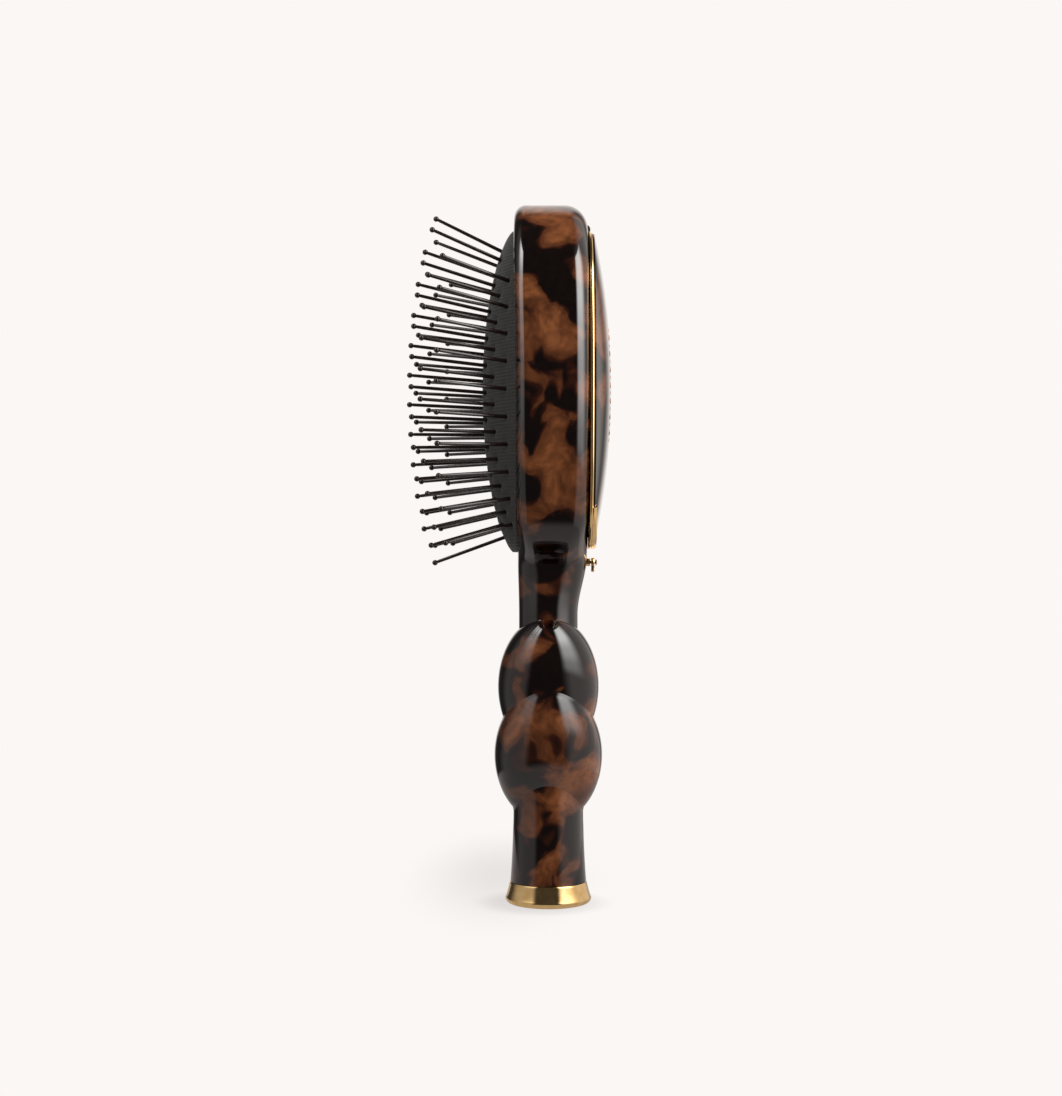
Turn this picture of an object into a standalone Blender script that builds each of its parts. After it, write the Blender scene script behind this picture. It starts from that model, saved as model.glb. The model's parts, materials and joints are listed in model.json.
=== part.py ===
"""Vanity hairbrush that stands upright on a flared metal foot.

One piece of mottled acetate makes the oval head, the neck, two rounded lobes and a column. A domed
rubber cushion with seven rows of pins sits in the front of the head. A mirror sits in its back, under
a domed lid that swings on a hidden hinge at the top. A small turning latch sits on the neck.

+Z runs up the handle, -X towards the pins, +X towards the lid and Y across. The origin is the centre
of the foot's flat bottom.
"""

import math

import bmesh
import bpy
from mathutils import Matrix, Vector

MM = 0.001
GAP = 0.3 * MM

# Head
HEAD_TOP = 199.6 * MM
HEAD_HALF_LENGTH = 51 * MM
HEAD_HALF_WIDTH = 31 * MM
HEAD_POWER = 2.15
HEAD_CENTRE = HEAD_TOP - HEAD_HALF_LENGTH
FRONT = -9.2 * MM
FRONT_TOP = -9.8 * MM
FRONT_MIDDLE = -8.9 * MM
BACK = 11.2 * MM
FRONT_EDGE = 3.4 * MM
BACK_EDGE = 5.0 * MM
BACK_EDGE_TOP = 6.6 * MM
FACE_TILT = (150 * MM, 190 * MM)
ROUNDER_EDGE = (180 * MM, 196 * MM)
BACK_BLEND_TOP = 100 * MM
FRONT_BLEND_TOP = 104 * MM
SHOULDER_BLEND = (88 * MM, 99 * MM)
OUTLINE_STEPS = 34

# Handle
NECK_HALF = 8.45 * MM
NECK_SQUASH = 0.9
NECK_HALF_WIDTH = NECK_HALF * NECK_SQUASH
NECK_BOTTOM = 82.5 * MM
ROUND_BELOW = 10 * MM
OVAL_ABOVE = 80 * MM
NECK_ROUND = 92 * MM
HEAD_BOTTOM = 108 * MM
SHOULDER_SOFTNESS = 4 * MM
# Each crease is (height at the front and back, height at the two sides).
CREASES = ((78.4 * MM, 81.5 * MM), (53.3 * MM, 61.4 * MM), (27.4 * MM, 34.5 * MM))
# Each lobe is (radius, height of its middle, half its height).
UPPER_LOBE = (14.5 * MM, 62.0 * MM, 20.4 * MM)
LOWER_LOBE = (15.5 * MM, 42.4 * MM, 20.0 * MM)
COLUMN_RADIUS = 10.05 * MM
COLUMN_FLARE = 1.36 * MM

# Foot
FOOT_RADIUS = 12.3 * MM
FOOT_TOP_RADIUS = 11.0 * MM
FOOT_HEIGHT = 6.2 * MM
FOOT_FLOOR = 3.0 * MM
FOOT_EDGE = 1.5 * MM
SPIGOT_RADIUS = 9.0 * MM
STUD_RADIUS = 2.0 * MM
STUD_TOP = 18 * MM
STUD_CHAMFER = 0.4 * MM
CAP_CENTRE_FLOOR = 1.2 * MM

# Cushion and pins
PAD_CENTRE = 146.4 * MM
PAD_HALF_WIDTH = 24.8 * MM
PAD_HALF_LENGTH = 46 * MM
PAD_POWER = 2.4
PAD_RISE = 9.7 * MM
PAD_WALL = 1.5 * MM
# How full the dome is along and across: lower is fuller.
PAD_FULLNESS = (0.6, 1.1)
DOME_SHARES = (0.04, 0.3, 0.5, 0.68, 0.83, 0.94)
PAD_POINTS = 36
POCKET_FLOOR = 0.0
POCKET_LEDGE = 1.8 * MM
# The bead is (front face, back face, how far it stands out past the cushion's wall).
BEAD = (-6.3 * MM, -3.9 * MM, 1.3 * MM)
PIN_RADIUS = 0.5 * MM
PIN_LENGTH = 21 * MM
BALL_RADIUS = 0.8 * MM
PIN_PITCH = 7.7 * MM
LATTICE = 145.6 * MM
PIN_CROWDING = 0.035
# A pin's tilt towards the head's top, in degrees: at the cushion's middle, per mm and per cubic mm.
PIN_LEAN = (4.0, 0.267, 0.000176)
# A pin's tilt sideways, in degrees per mm of its row's distance across.
PIN_SPREAD = 1.45
HOLE_BELOW = 5 * MM
HOLE_ABOVE = 3 * MM
RUNNER_DEPTH = 2.9 * MM
RUNNER_END = 1.5 * MM
RUNNER_HALF = 0.8 * MM
RUNNER_THICKNESS = 1.0 * MM
OUTER_ROW = 20 * MM
# Distance across, first and last place along the lattice, shift along it in pitches.
ROWS = (
    (-20.0 * MM, -5, 4, 0.0),
    (-13.5 * MM, -5, 3, 0.5),
    (-7.0 * MM, -5, 5, 0.0),
    (0.0, -6, 5, 0.5),
    (7.0 * MM, -5, 5, 0.0),
    (13.5 * MM, -5, 3, 0.5),
    (20.0 * MM, -5, 4, 0.0),
)

# Mirror
MIRROR_CENTRE = 143.5 * MM
MIRROR_HALF_WIDTH = 21.2 * MM
MIRROR_HALF_LENGTH = 36 * MM
BEZEL_HALF_WIDTH = 23.2 * MM
BEZEL_HALF_LENGTH = 38 * MM
MIRROR_FLOOR = 7.0 * MM
MIRROR_STEP = 9.8 * MM
BACKING_THICKNESS = 0.6 * MM
BEZEL_BACK = 11.0 * MM
BEZEL_WIDTH = 3.6 * MM

# Lid
LID_CENTRE = 146.9 * MM
LID_HALF_WIDTH = 27.5 * MM
LID_HALF_LENGTH = 45.4 * MM
LID_POWER = 2.3
FRAME_BACK = BACK + GAP
FRAME_FACE = 12.3 * MM
SHELL_BACK = FRAME_FACE + GAP
RIM_EDGE = 12.8 * MM
CREST = 18.0 * MM
DOME_POWER = 0.95
LID_SHARES = (1.0, 0.97, 0.9, 0.8, 0.68, 0.54, 0.38, 0.2, 0.05)
FRAME_WIDTH = 3.0 * MM
# The lid's slanted top end: (X, Z) where the frame starts, and where the dome ends.
TRIM_START = (FRAME_BACK, 190.6 * MM)
TRIM_END = (CREST + 2 * MM, 185.1 * MM)
LINING_THICKNESS = 1.0 * MM
LINING_HALF_WIDTH = 22.0 * MM
LINING_HALF_LENGTH = 36.0 * MM
LINING_CENTRE = 144 * MM
LIP_TOP = 116 * MM
LIP_FACE = 13.5 * MM
LIP_WIDTH = 0.3 * MM
LIP_DEPTH = 1.6 * MM
LIP_SHORTENING = 0.05
LIP_SLICES = 16

# Hinge
HINGE_X = 10.4 * MM
HINGE_Z = 192.0 * MM
KNUCKLE_RADIUS = 1.5 * MM
GROOVE_RADIUS = 2.6 * MM
HINGE_PIN_RADIUS = 0.6 * MM
LEAF_HALF_WIDTH = 6.0 * MM
LEAF_BOTTOM = 184.6 * MM
LEAF_TOP = 190.2 * MM
CENTRE_KNUCKLE = 2.7 * MM
SCREW_Y = 3.8 * MM
SCREW_Z = 186.8 * MM
SCREW_SHANK = 0.5 * MM
SCREW_HEAD = 0.95 * MM
BODY_LEAF = (9.7 * MM, 10.5 * MM)
BODY_SCREW_TIP = 6.0 * MM
LID_SCREW_TIP = SHELL_BACK + 0.6 * MM

# Latch. Collar and rivet head are (low X, high X, radius), and the hook is (low X, high X).
LATCH_Z = 97.5 * MM
RIVET_TIP = 3.0 * MM
TAB_HALF_WIDTH = 1.0 * MM
COLLAR = (10.3 * MM, 12.0 * MM, 1.1 * MM)
HOOK = (12.3 * MM, 13.2 * MM)
HOOK_REACH = 2.8 * MM
HOOK_BOSS = 1.3 * MM
RIVET_RADIUS = 0.45 * MM
RIVET_HEAD = (13.5 * MM, 14.0 * MM, 0.9 * MM)


def clear_scene():
    for thing in list(bpy.data.objects):
        bpy.data.objects.remove(thing, do_unlink=True)


def make_material(name, colour, roughness, metallic=0.0, coat=0.0):
    material = bpy.data.materials.new(name)
    material.use_nodes = True
    shader = material.node_tree.nodes["Principled BSDF"]
    shader.inputs["Base Color"].default_value = (*colour, 1.0)
    shader.inputs["Roughness"].default_value = roughness
    shader.inputs["Metallic"].default_value = metallic
    shader.inputs["Coat Weight"].default_value = coat
    return material


def smooth_step(low, high, value):
    share = min(1.0, max(0.0, (value - low) / (high - low)))
    return share * share * (3 - 2 * share)


def mix(a, b, share):
    return a + (b - a) * share


def power_of(value, power):
    return math.copysign(abs(value) ** power, value)


def oval(x, half_width, half_length, centre, power=LID_POWER, count=40):
    """A ring of points round a superellipse that lies across X."""
    ring = []
    for i in range(count):
        angle = 2 * math.pi * i / count
        y = half_width * power_of(math.sin(angle), 2 / power)
        z = centre + half_length * power_of(math.cos(angle), 2 / power)
        ring.append(Vector((x, y, z)))
    return ring


def circle(centre, along, radius, count):
    """A ring of points round the axis along, X, Y or Z."""
    ring = []
    for i in range(count):
        angle = 2 * math.pi * (i + 0.5) / count
        first, second = radius * math.cos(angle), radius * math.sin(angle)
        offset = {"X": (0, first, second), "Y": (second, 0, first), "Z": (first, second, 0)}[along]
        ring.append(Vector(centre) + Vector(offset))
    return ring


def loft(mesh, rings, loop=False):
    """Joins rings of equal count into one closed skin: capped at both ends, or round into itself."""
    rows = [[mesh.verts.new(point) for point in ring] for ring in rings]
    pairs = list(zip(rows, rows[1:]))
    if loop:
        pairs.append((rows[-1], rows[0]))
    for low, high in pairs:
        for i in range(len(low)):
            j = (i + 1) % len(low)
            mesh.faces.new((low[i], low[j], high[j], high[i]))
    if not loop:
        mesh.faces.new(rows[0])
        mesh.faces.new(rows[-1])


def finish(name, mesh, material, holder=None):
    """Turns a bmesh into the object of one sub-part, hung on its joint's empty if it moves."""
    bmesh.ops.remove_doubles(mesh, verts=mesh.verts, dist=0.00001 * MM)
    bmesh.ops.recalc_face_normals(mesh, faces=mesh.faces)
    if mesh.calc_volume(signed=True) < 0:
        bmesh.ops.reverse_faces(mesh, faces=mesh.faces)
    data = bpy.data.meshes.new(name)
    if holder is not None:
        mesh.transform(Matrix.Translation(-holder.location))
    mesh.to_mesh(data)
    mesh.free()
    part = bpy.data.objects.new(name, data)
    bpy.context.collection.objects.link(part)
    if material is not None:
        data.materials.append(material)
        data.shade_smooth()
        data.set_sharp_from_angle(angle=math.radians(35))
    if holder is not None:
        part.parent = holder
    return part


def lofted(name, rings, material=None, loop=False, holder=None):
    mesh = bmesh.new()
    loft(mesh, rings, loop)
    return finish(name, mesh, material, holder)


def turned(name, along, base, profile, material=None, count=24, loop=False, holder=None):
    """A turned piece: profile lists (radius, distance along the axis) from base."""
    step = {"X": Vector((1, 0, 0)), "Y": Vector((0, 1, 0)), "Z": Vector((0, 0, 1))}[along]
    rings = [circle(Vector(base) + step * far, along, radius, count) for radius, far in profile]
    return lofted(name, rings, material, loop, holder)


def box(name, low, high, material=None, holder=None):
    corners = ((0, 0), (1, 0), (1, 1), (0, 1))
    rings = []
    for x in (low[0], high[0]):
        rings.append([Vector((x, mix(low[1], high[1], a), mix(low[2], high[2], b))) for a, b in corners])
    return lofted(name, rings, material, holder=holder)


def combine(target, tool, operation="DIFFERENCE"):
    """Cuts the tool from the target, or joins it on. The tool stays in the file as a hidden guide."""
    tool.hide_render = True
    tool.display_type = "WIRE"
    step = target.modifiers.new(tool.name, "BOOLEAN")
    step.operation = operation
    step.solver = "EXACT"
    step.object = tool


def joint_empty(name, location):
    holder = bpy.data.objects.new(name, None)
    holder.empty_display_size = 5 * MM
    holder.location = location
    bpy.context.collection.objects.link(holder)
    return holder


# ---- brush body

def head_half_width(z):
    across = abs(z - HEAD_CENTRE) / HEAD_HALF_LENGTH
    if across >= 1:
        return 0.0
    return HEAD_HALF_WIDTH * (1 - across**HEAD_POWER) ** (1 / HEAD_POWER)


def half_width(z):
    """The oval of the head run softly into the neck."""
    head, neck = head_half_width(z), NECK_HALF_WIDTH
    blend = math.exp((head - neck) / SHOULDER_SOFTNESS)
    return neck + SHOULDER_SOFTNESS * math.log(1 + blend) * smooth_step(*SHOULDER_BLEND, z)


def outline_point(step):
    """Point and outward normal of the head's outline, for step from 0 at the top to 1 at the neck."""
    if step < 0.5:
        angle = step * math.pi
        y = HEAD_HALF_WIDTH * math.sin(angle) ** (2 / HEAD_POWER)
        z = HEAD_CENTRE + HEAD_HALF_LENGTH * math.cos(angle) ** (2 / HEAD_POWER)
        rise = (z - HEAD_CENTRE) / HEAD_HALF_LENGTH
        normal = Vector(((y / HEAD_HALF_WIDTH) ** (HEAD_POWER - 1) / HEAD_HALF_WIDTH,
                         rise ** (HEAD_POWER - 1) / HEAD_HALF_LENGTH))
        return Vector((y, z)), normal.normalized()
    drop = math.sin((step - 0.5) * math.pi) ** 0.9
    z = mix(HEAD_CENTRE, NECK_BOTTOM, drop)
    small = 0.1 * MM
    slope = (half_width(z + small) - half_width(z - small)) / (2 * small)
    return Vector((half_width(z), z)), Vector((1, -slope)).normalized()


def half_profile():
    """The head's section from the middle of its back to the middle of its front.

    Each entry is (side, share across the flat face, edge angle): side 1 is the back and -1 the front.
    """
    edge = [math.radians(a) for a in (0, 30, 60, 90)]
    back = [(1, 0.0, 0.0), (1, 0.55, 0.0)] + [(1, 1.0, a) for a in edge]
    return back + [(-side, share, angle) for side, share, angle in reversed(back)]


def head_ring(step):
    """One ring round the head, from its back to its front, which rounds off into the neck."""
    (y, z), normal = outline_point(step)
    soft = smooth_step(HEAD_BOTTOM, NECK_ROUND, z)
    back = mix(NECK_HALF, BACK, smooth_step(NECK_BOTTOM, BACK_BLEND_TOP, z))
    face = mix(FRONT_MIDDLE, FRONT_TOP, smooth_step(*FACE_TILT, z))
    front = mix(-NECK_HALF, face, smooth_step(NECK_BOTTOM, FRONT_BLEND_TOP, z))
    back_edge = mix(BACK_EDGE, BACK_EDGE_TOP, smooth_step(*ROUNDER_EDGE, z))
    profile = half_profile()
    half = []
    for i, (side, share, angle) in enumerate(profile):
        radius = back_edge if side > 0 else FRONT_EDGE
        inset = radius * (1 - math.sin(angle)) if share == 1.0 else radius
        level = radius * (1 - math.cos(angle)) if share == 1.0 else 0.0
        x = back - level if side > 0 else front + level
        across = max(0.0, y - normal[0] * inset) * share
        high = z - normal[1] * inset
        turn = math.pi * i / (len(profile) - 1)
        round_x = (back + front) / 2 + (back - front) / 2 * math.cos(turn)
        round_y = y * math.sin(turn)
        half.append(Vector((mix(x, round_x, soft), mix(across, round_y, soft), mix(high, z, soft))))
    return half + [Vector((p.x, -p.y, p.z)) for p in reversed(half[1:-1])]


def lobe_radius(lobe, z):
    radius, centre, half_height = lobe
    return radius * math.sqrt(max(0.0, 1 - ((z - centre) / half_height) ** 2))


def handle_ring(radius, z_face, z_side, count):
    """A ring that rides up at its two sides, as the creases between the lobes do."""
    share = (z_face - ROUND_BELOW) / (OVAL_ABOVE - ROUND_BELOW)
    squash = mix(1.0, NECK_SQUASH, min(1.0, max(0.0, share)))
    ring = []
    for i in range(count):
        turn = 2 * math.pi * i / count
        z = z_face * math.cos(turn) ** 2 + z_side * math.sin(turn) ** 2
        ring.append(Vector((radius * math.cos(turn), radius * squash * math.sin(turn), z)))
    return ring


def handle_rings(count):
    def between(top, bottom, steps, radius_at):
        for i in range(1, steps + 1):
            share = i / steps
            z_face = mix(top[0], bottom[0], share)
            yield handle_ring(radius_at(z_face), z_face, mix(top[1], bottom[1], share), count)

    def column(z):
        return COLUMN_RADIUS + COLUMN_FLARE * ((CREASES[2][0] - z) / CREASES[2][0]) ** 2

    column_end = (FOOT_HEIGHT + GAP, FOOT_HEIGHT + GAP)
    yield from between((NECK_BOTTOM, NECK_BOTTOM), CREASES[0], 3, lambda z: NECK_HALF)
    yield from between(CREASES[0], CREASES[1], 9, lambda z: lobe_radius(UPPER_LOBE, z))
    yield from between(CREASES[1], CREASES[2], 9, lambda z: lobe_radius(LOWER_LOBE, z))
    yield from between(CREASES[2], column_end, 5, column)
    yield flat_ring(SPIGOT_RADIUS, FOOT_HEIGHT + GAP, count)
    yield flat_ring(SPIGOT_RADIUS, FOOT_FLOOR + GAP, count)


def flat_ring(radius, z, count):
    turns = [2 * math.pi * i / count for i in range(count)]
    return [Vector((radius * math.cos(turn), radius * math.sin(turn), z)) for turn in turns]


def brush_body(acetate):
    rings = [head_ring(i / OUTLINE_STEPS) for i in range(OUTLINE_STEPS + 1)]
    rings += list(handle_rings(len(rings[0])))
    mesh = bmesh.new()
    rows = [[mesh.verts.new(point) for point in ring] for ring in rings]
    for low, high in zip(rows, rows[1:]):
        for i in range(len(low)):
            j = (i + 1) % len(low)
            mesh.faces.new((low[i], low[j], high[j], high[i]))
    mesh.faces.new(rows[-1])
    bmesh.ops.remove_doubles(mesh, verts=mesh.verts, dist=0.001 * MM)
    bmesh.ops.dissolve_degenerate(mesh, dist=0.001 * MM, edges=mesh.edges)
    body = finish("brush_body", mesh, acetate)

    def pocket_ring(x, out):
        return oval(x, PAD_HALF_WIDTH + out, PAD_HALF_LENGTH + out, PAD_CENTRE, PAD_POWER)

    bead_top, bead_bottom, bead_out = BEAD
    levels = (
        (FRONT - 5 * MM, GAP),
        (bead_top - GAP, GAP),
        (bead_top - GAP, bead_out + GAP),
        (bead_bottom + GAP, bead_out + GAP),
        (bead_bottom + GAP, -POCKET_LEDGE),
        (POCKET_FLOOR, -POCKET_LEDGE),
    )
    combine(body, lofted("cushion_pocket", [pocket_ring(x, out) for x, out in levels]))

    def mirror_ring(x, half_y, half_z):
        return oval(x, half_y + GAP, half_z + GAP, MIRROR_CENTRE)

    mirror_levels = (
        (MIRROR_FLOOR, MIRROR_HALF_WIDTH, MIRROR_HALF_LENGTH),
        (MIRROR_STEP, MIRROR_HALF_WIDTH, MIRROR_HALF_LENGTH),
        (MIRROR_STEP, BEZEL_HALF_WIDTH, BEZEL_HALF_LENGTH),
        (BACK + 5 * MM, BEZEL_HALF_WIDTH, BEZEL_HALF_LENGTH),
    )
    combine(body, lofted("mirror_pocket", [mirror_ring(*level) for level in mirror_levels]))

    reach = LEAF_HALF_WIDTH + GAP
    groove = ((GROOVE_RADIUS, -reach), (GROOVE_RADIUS, reach))
    combine(body, turned("hinge_groove", "Y", (HINGE_X, 0, HINGE_Z), groove))
    low = (BODY_LEAF[0] - GAP, -reach, LEAF_BOTTOM - GAP)
    combine(body, box("leaf_recess", low, (BACK + 3 * MM, reach, HINGE_Z)))
    for side in (-1, 1):
        name = "screw_bore_left" if side < 0 else "screw_bore_right"
        bore = ((SCREW_SHANK + GAP, BODY_SCREW_TIP - GAP), (SCREW_SHANK + GAP, BODY_LEAF[0] + 0.1 * MM))
        combine(body, turned(name, "X", (0, side * SCREW_Y, SCREW_Z), bore, count=10))
    seat_low, _, seat_radius = COLLAR
    rivet_bore = (
        (RIVET_RADIUS + GAP, RIVET_TIP - GAP),
        (RIVET_RADIUS + GAP, seat_low - GAP),
        (seat_radius + GAP, seat_low - GAP),
        (seat_radius + GAP, BACK + 4 * MM),
    )
    combine(body, turned("rivet_bore", "X", (0, 0, LATCH_Z), rivet_bore, count=16))
    stud_bore = ((STUD_RADIUS + GAP, 0), (STUD_RADIUS + GAP, STUD_TOP + GAP))
    combine(body, turned("stud_bore", "Z", (0, 0, 0), stud_bore, count=16))
    return body


# ---- foot

def foot(brass, steel):
    profile = [(FOOT_RADIUS - FOOT_EDGE, 0.0)]
    for degrees in (30, 60, 90):
        turn = math.radians(degrees)
        radius = FOOT_RADIUS - FOOT_EDGE * (1 - math.sin(turn))
        profile.append((radius, FOOT_EDGE * (1 - math.cos(turn))))
    profile += [
        (FOOT_TOP_RADIUS, FOOT_HEIGHT),
        (SPIGOT_RADIUS + GAP, FOOT_HEIGHT),
        (SPIGOT_RADIUS + GAP, FOOT_FLOOR),
        (STUD_RADIUS + GAP, FOOT_FLOOR),
        (STUD_RADIUS + GAP, CAP_CENTRE_FLOOR),
    ]
    turned("foot_cap", "Z", (0, 0, 0), profile, brass, count=40)
    stud_bottom = CAP_CENTRE_FLOOR + GAP
    stud = [(STUD_RADIUS - STUD_CHAMFER, stud_bottom), (STUD_RADIUS, stud_bottom + STUD_CHAMFER)]
    stud += [(STUD_RADIUS, STUD_TOP - STUD_CHAMFER), (STUD_RADIUS - STUD_CHAMFER, STUD_TOP)]
    turned("foot_stud", "Z", (0, 0, 0), stud, steel, count=14)


# ---- cushion and pins

def pad_share(z):
    """Half width of the cushion's oval at this height, as a share of its greatest."""
    along = min(1.0, abs(z - PAD_CENTRE) / PAD_HALF_LENGTH)
    return (1 - along**PAD_POWER) ** (1 / PAD_POWER)


def pad_surface(y, z):
    """X of the cushion's outer face."""
    along = min(1.0, abs(z - PAD_CENTRE) / (PAD_HALF_LENGTH + 0.5 * MM))
    width = max(PAD_HALF_WIDTH * pad_share(z), 0.1 * MM)
    across = min(1.0, abs(y) / width)
    return FRONT - PAD_RISE * (1 - along**2) ** PAD_FULLNESS[0] * (1 - across**2) ** PAD_FULLNESS[1]


def row_y(row, z):
    """The outer rows follow the oval, the middle rows run nearly straight."""
    bow = (row / OUTER_ROW) ** 2
    return row * (1 - bow * (1 - pad_share(z)))


def row_places(first, last, shift):
    """Heights of the pins of a row, drawn together a little towards its ends."""
    places = []
    for i in range(first, last + 1):
        z = LATTICE + PIN_PITCH * (i + shift)
        along = (z - PAD_CENTRE) / PAD_HALF_LENGTH
        places.append(PAD_CENTRE + (z - PAD_CENTRE) * (1 - PIN_CROWDING * along**2))
    return places


def pin_direction(row, z):
    """Pins lean outwards with the dome, more towards the top of the head."""
    along = (z - PAD_CENTRE) / MM
    at_middle, slope, curl = PIN_LEAN
    lean = math.radians(at_middle + slope * along + curl * along**3)
    spread = math.radians(PIN_SPREAD * row / MM)
    return Vector((-math.cos(lean) * math.cos(spread), math.sin(spread), math.sin(lean) * math.cos(spread)))


def side_axes(direction):
    first = direction.cross(Vector((0, 1, 0))).normalized()
    return first, direction.cross(first)


def pin_rings(base, direction, profile, count=6):
    """Rings round a pin: profile lists (radius, distance from its base)."""
    first, second = side_axes(direction)
    rings = []
    for radius, far in profile:
        turns = [2 * math.pi * i / count for i in range(count)]
        offsets = [first * math.cos(turn) + second * math.sin(turn) for turn in turns]
        rings.append([base + direction * far + offset * radius for offset in offsets])
    return rings


def pin_row(number, row, first, last, shift, nylon, pad):
    """A row of ball-tipped pins on the strip that holds them, and their clearance holes in the cushion."""
    places = row_places(first, last, shift)
    pins, holes = bmesh.new(), bmesh.new()
    for z in places:
        y = row_y(row, z)
        direction = pin_direction(row, z)
        surface = Vector((pad_surface(y, z), y, z))
        root = (PIN_RADIUS, -RUNNER_DEPTH - RUNNER_THICKNESS / 2)
        neck = (PIN_RADIUS, PIN_LENGTH - 0.8 * BALL_RADIUS)
        ball = (BALL_RADIUS, PIN_LENGTH)
        crown = (0.62 * BALL_RADIUS, PIN_LENGTH + 0.75 * BALL_RADIUS)
        tip = (0.15 * BALL_RADIUS, PIN_LENGTH + BALL_RADIUS)
        loft(pins, pin_rings(surface, direction, (root, neck, ball, crown, tip)))
        clear = (PIN_RADIUS + GAP) / math.cos(math.pi / 6)
        loft(holes, pin_rings(surface, direction, ((clear, -HOLE_BELOW), (clear, HOLE_ABOVE))))
    finished_pins = finish(f"pins_{number}", pins, None)
    hole_tool = finish(f"pin_holes_{number}", holes, None)
    combine(pad, hole_tool)

    rings = []
    for z in [places[0] - RUNNER_END] + places + [places[-1] + RUNNER_END]:
        y = row_y(row, z)
        direction = pin_direction(row, z)
        root = Vector((pad_surface(y, z), y, z)) - direction * RUNNER_DEPTH
        side = direction.cross(Vector((0, 0, 1))).normalized() * RUNNER_HALF
        deep = Vector((RUNNER_THICKNESS, 0, 0))
        rings.append([root - side, root + side, root + side + deep, root - side + deep])
    runner = lofted(f"pin_row_{number}", rings, nylon)
    combine(runner, finished_pins, "UNION")


def cushion(rubber):
    """A thin domed shell, open below, with a bead round its foot."""
    bead_top, bead_bottom, bead_out = BEAD

    def dome(inner, share):
        ring = []
        for point in oval(0, PAD_HALF_WIDTH, PAD_HALF_LENGTH, PAD_CENTRE, PAD_POWER, PAD_POINTS):
            wall = PAD_WALL if inner else 0.0
            y = point.y * share * (1 - wall / PAD_HALF_WIDTH)
            z = PAD_CENTRE + (point.z - PAD_CENTRE) * share * (1 - wall / PAD_HALF_LENGTH)
            ring.append(Vector((pad_surface(y, z) + wall, y, z)))
        return ring

    def skirt(x, out):
        return oval(x, PAD_HALF_WIDTH + out, PAD_HALF_LENGTH + out, PAD_CENTRE, PAD_POWER, PAD_POINTS)

    rings = [dome(False, share) for share in DOME_SHARES]
    rings += [skirt(FRONT, 0), skirt(bead_top, 0), skirt(bead_top, bead_out), skirt(bead_bottom, bead_out)]
    rings += [skirt(bead_bottom, -PAD_WALL), skirt(FRONT + PAD_WALL, -PAD_WALL)]
    rings += [dome(True, share) for share in reversed(DOME_SHARES)]
    return lofted("cushion_pad", rings, rubber)


# ---- mirror

def mirror(glass, felt, brass):
    backing = (MIRROR_FLOOR + GAP, MIRROR_FLOOR + GAP + BACKING_THICKNESS)
    plate = (backing[1] + GAP, MIRROR_STEP)
    for name, (low, high), material in (("mirror_backing", backing, felt), ("mirror_glass", plate, glass)):
        rings = [oval(x, MIRROR_HALF_WIDTH, MIRROR_HALF_LENGTH, MIRROR_CENTRE) for x in (low, high)]
        lofted(name, rings, material)
    low, high = MIRROR_STEP + GAP, BEZEL_BACK
    inner = (BEZEL_HALF_WIDTH - BEZEL_WIDTH, BEZEL_HALF_LENGTH - BEZEL_WIDTH)
    outer = (BEZEL_HALF_WIDTH, BEZEL_HALF_LENGTH)
    corners = ((low, outer), (high, outer), (high, inner), (low, inner))
    rings = [oval(x, *half, MIRROR_CENTRE) for x, half in corners]
    lofted("mirror_bezel", rings, brass, loop=True)


# ---- lid

def lid_oval(x, out=0.0, share=1.0):
    return oval(x, (LID_HALF_WIDTH + out) * share, (LID_HALF_LENGTH + out) * share, LID_CENTRE)


def top_trim(name):
    """A slanted block that takes the lid's top end off, to leave room for the hinge."""
    top, far = 215 * MM, 40 * MM
    before = FRAME_BACK - 2 * MM
    side = ((before, TRIM_START[1] + 1.7 * MM), TRIM_START, TRIM_END, (TRIM_END[0], top), (before, top))
    return lofted(name, [[Vector((x, y, z)) for x, z in side] for y in (-far, far)])


def lid(acetate, brass, velvet, holder):
    rings = [lid_oval(SHELL_BACK)]
    for share in LID_SHARES:
        rings.append(lid_oval(mix(RIM_EDGE, CREST, (1 - share**2) ** DOME_POWER), 0, share))
    shell = lofted("lid_shell", rings, acetate, holder=holder)
    combine(shell, top_trim("shell_trim"))
    lining_size = (LINING_HALF_WIDTH, LINING_HALF_LENGTH, LINING_CENTRE)
    grown = (LINING_HALF_WIDTH + GAP, LINING_HALF_LENGTH + GAP, LINING_CENTRE)
    recess = (SHELL_BACK - 2 * MM, SHELL_BACK + LINING_THICKNESS + GAP)
    combine(shell, lofted("lining_recess", [oval(x, *grown) for x in recess]))
    combine(shell, lofted("lip_recess", lip_rings(0.0, GAP)))
    panel = (SHELL_BACK, SHELL_BACK + LINING_THICKNESS)
    lofted("lid_lining", [oval(x, *lining_size) for x in panel], velvet, holder=holder)
    for side in (-1, 1):
        name = "lid_screw_bore_left" if side < 0 else "lid_screw_bore_right"
        bore = ((SCREW_SHANK + GAP, SHELL_BACK - 2 * MM), (SCREW_SHANK + GAP, LID_SCREW_TIP + GAP))
        combine(shell, turned(name, "X", (0, side * SCREW_Y, SCREW_Z), bore, count=10))

    hollow = ((FRAME_BACK, 0), (FRAME_FACE, 0), (FRAME_FACE, -FRAME_WIDTH), (FRAME_BACK, -FRAME_WIDTH))
    frame = lofted("lid_frame", [lid_oval(x, out) for x, out in hollow], brass, loop=True, holder=holder)
    combine(frame, top_trim("frame_trim"))
    reach = LEAF_HALF_WIDTH + GAP
    gap_low = (FRAME_BACK - 1.5 * MM, -reach, LEAF_BOTTOM - 2.6 * MM)
    gap_high = (FRAME_FACE + 1.7 * MM, reach, HINGE_Z + 4 * MM)
    combine(frame, box("leaf_gap", gap_low, gap_high))
    lofted("lid_finger_lip", lip_rings(LIP_WIDTH, 0.0), brass, holder=holder)


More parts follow.
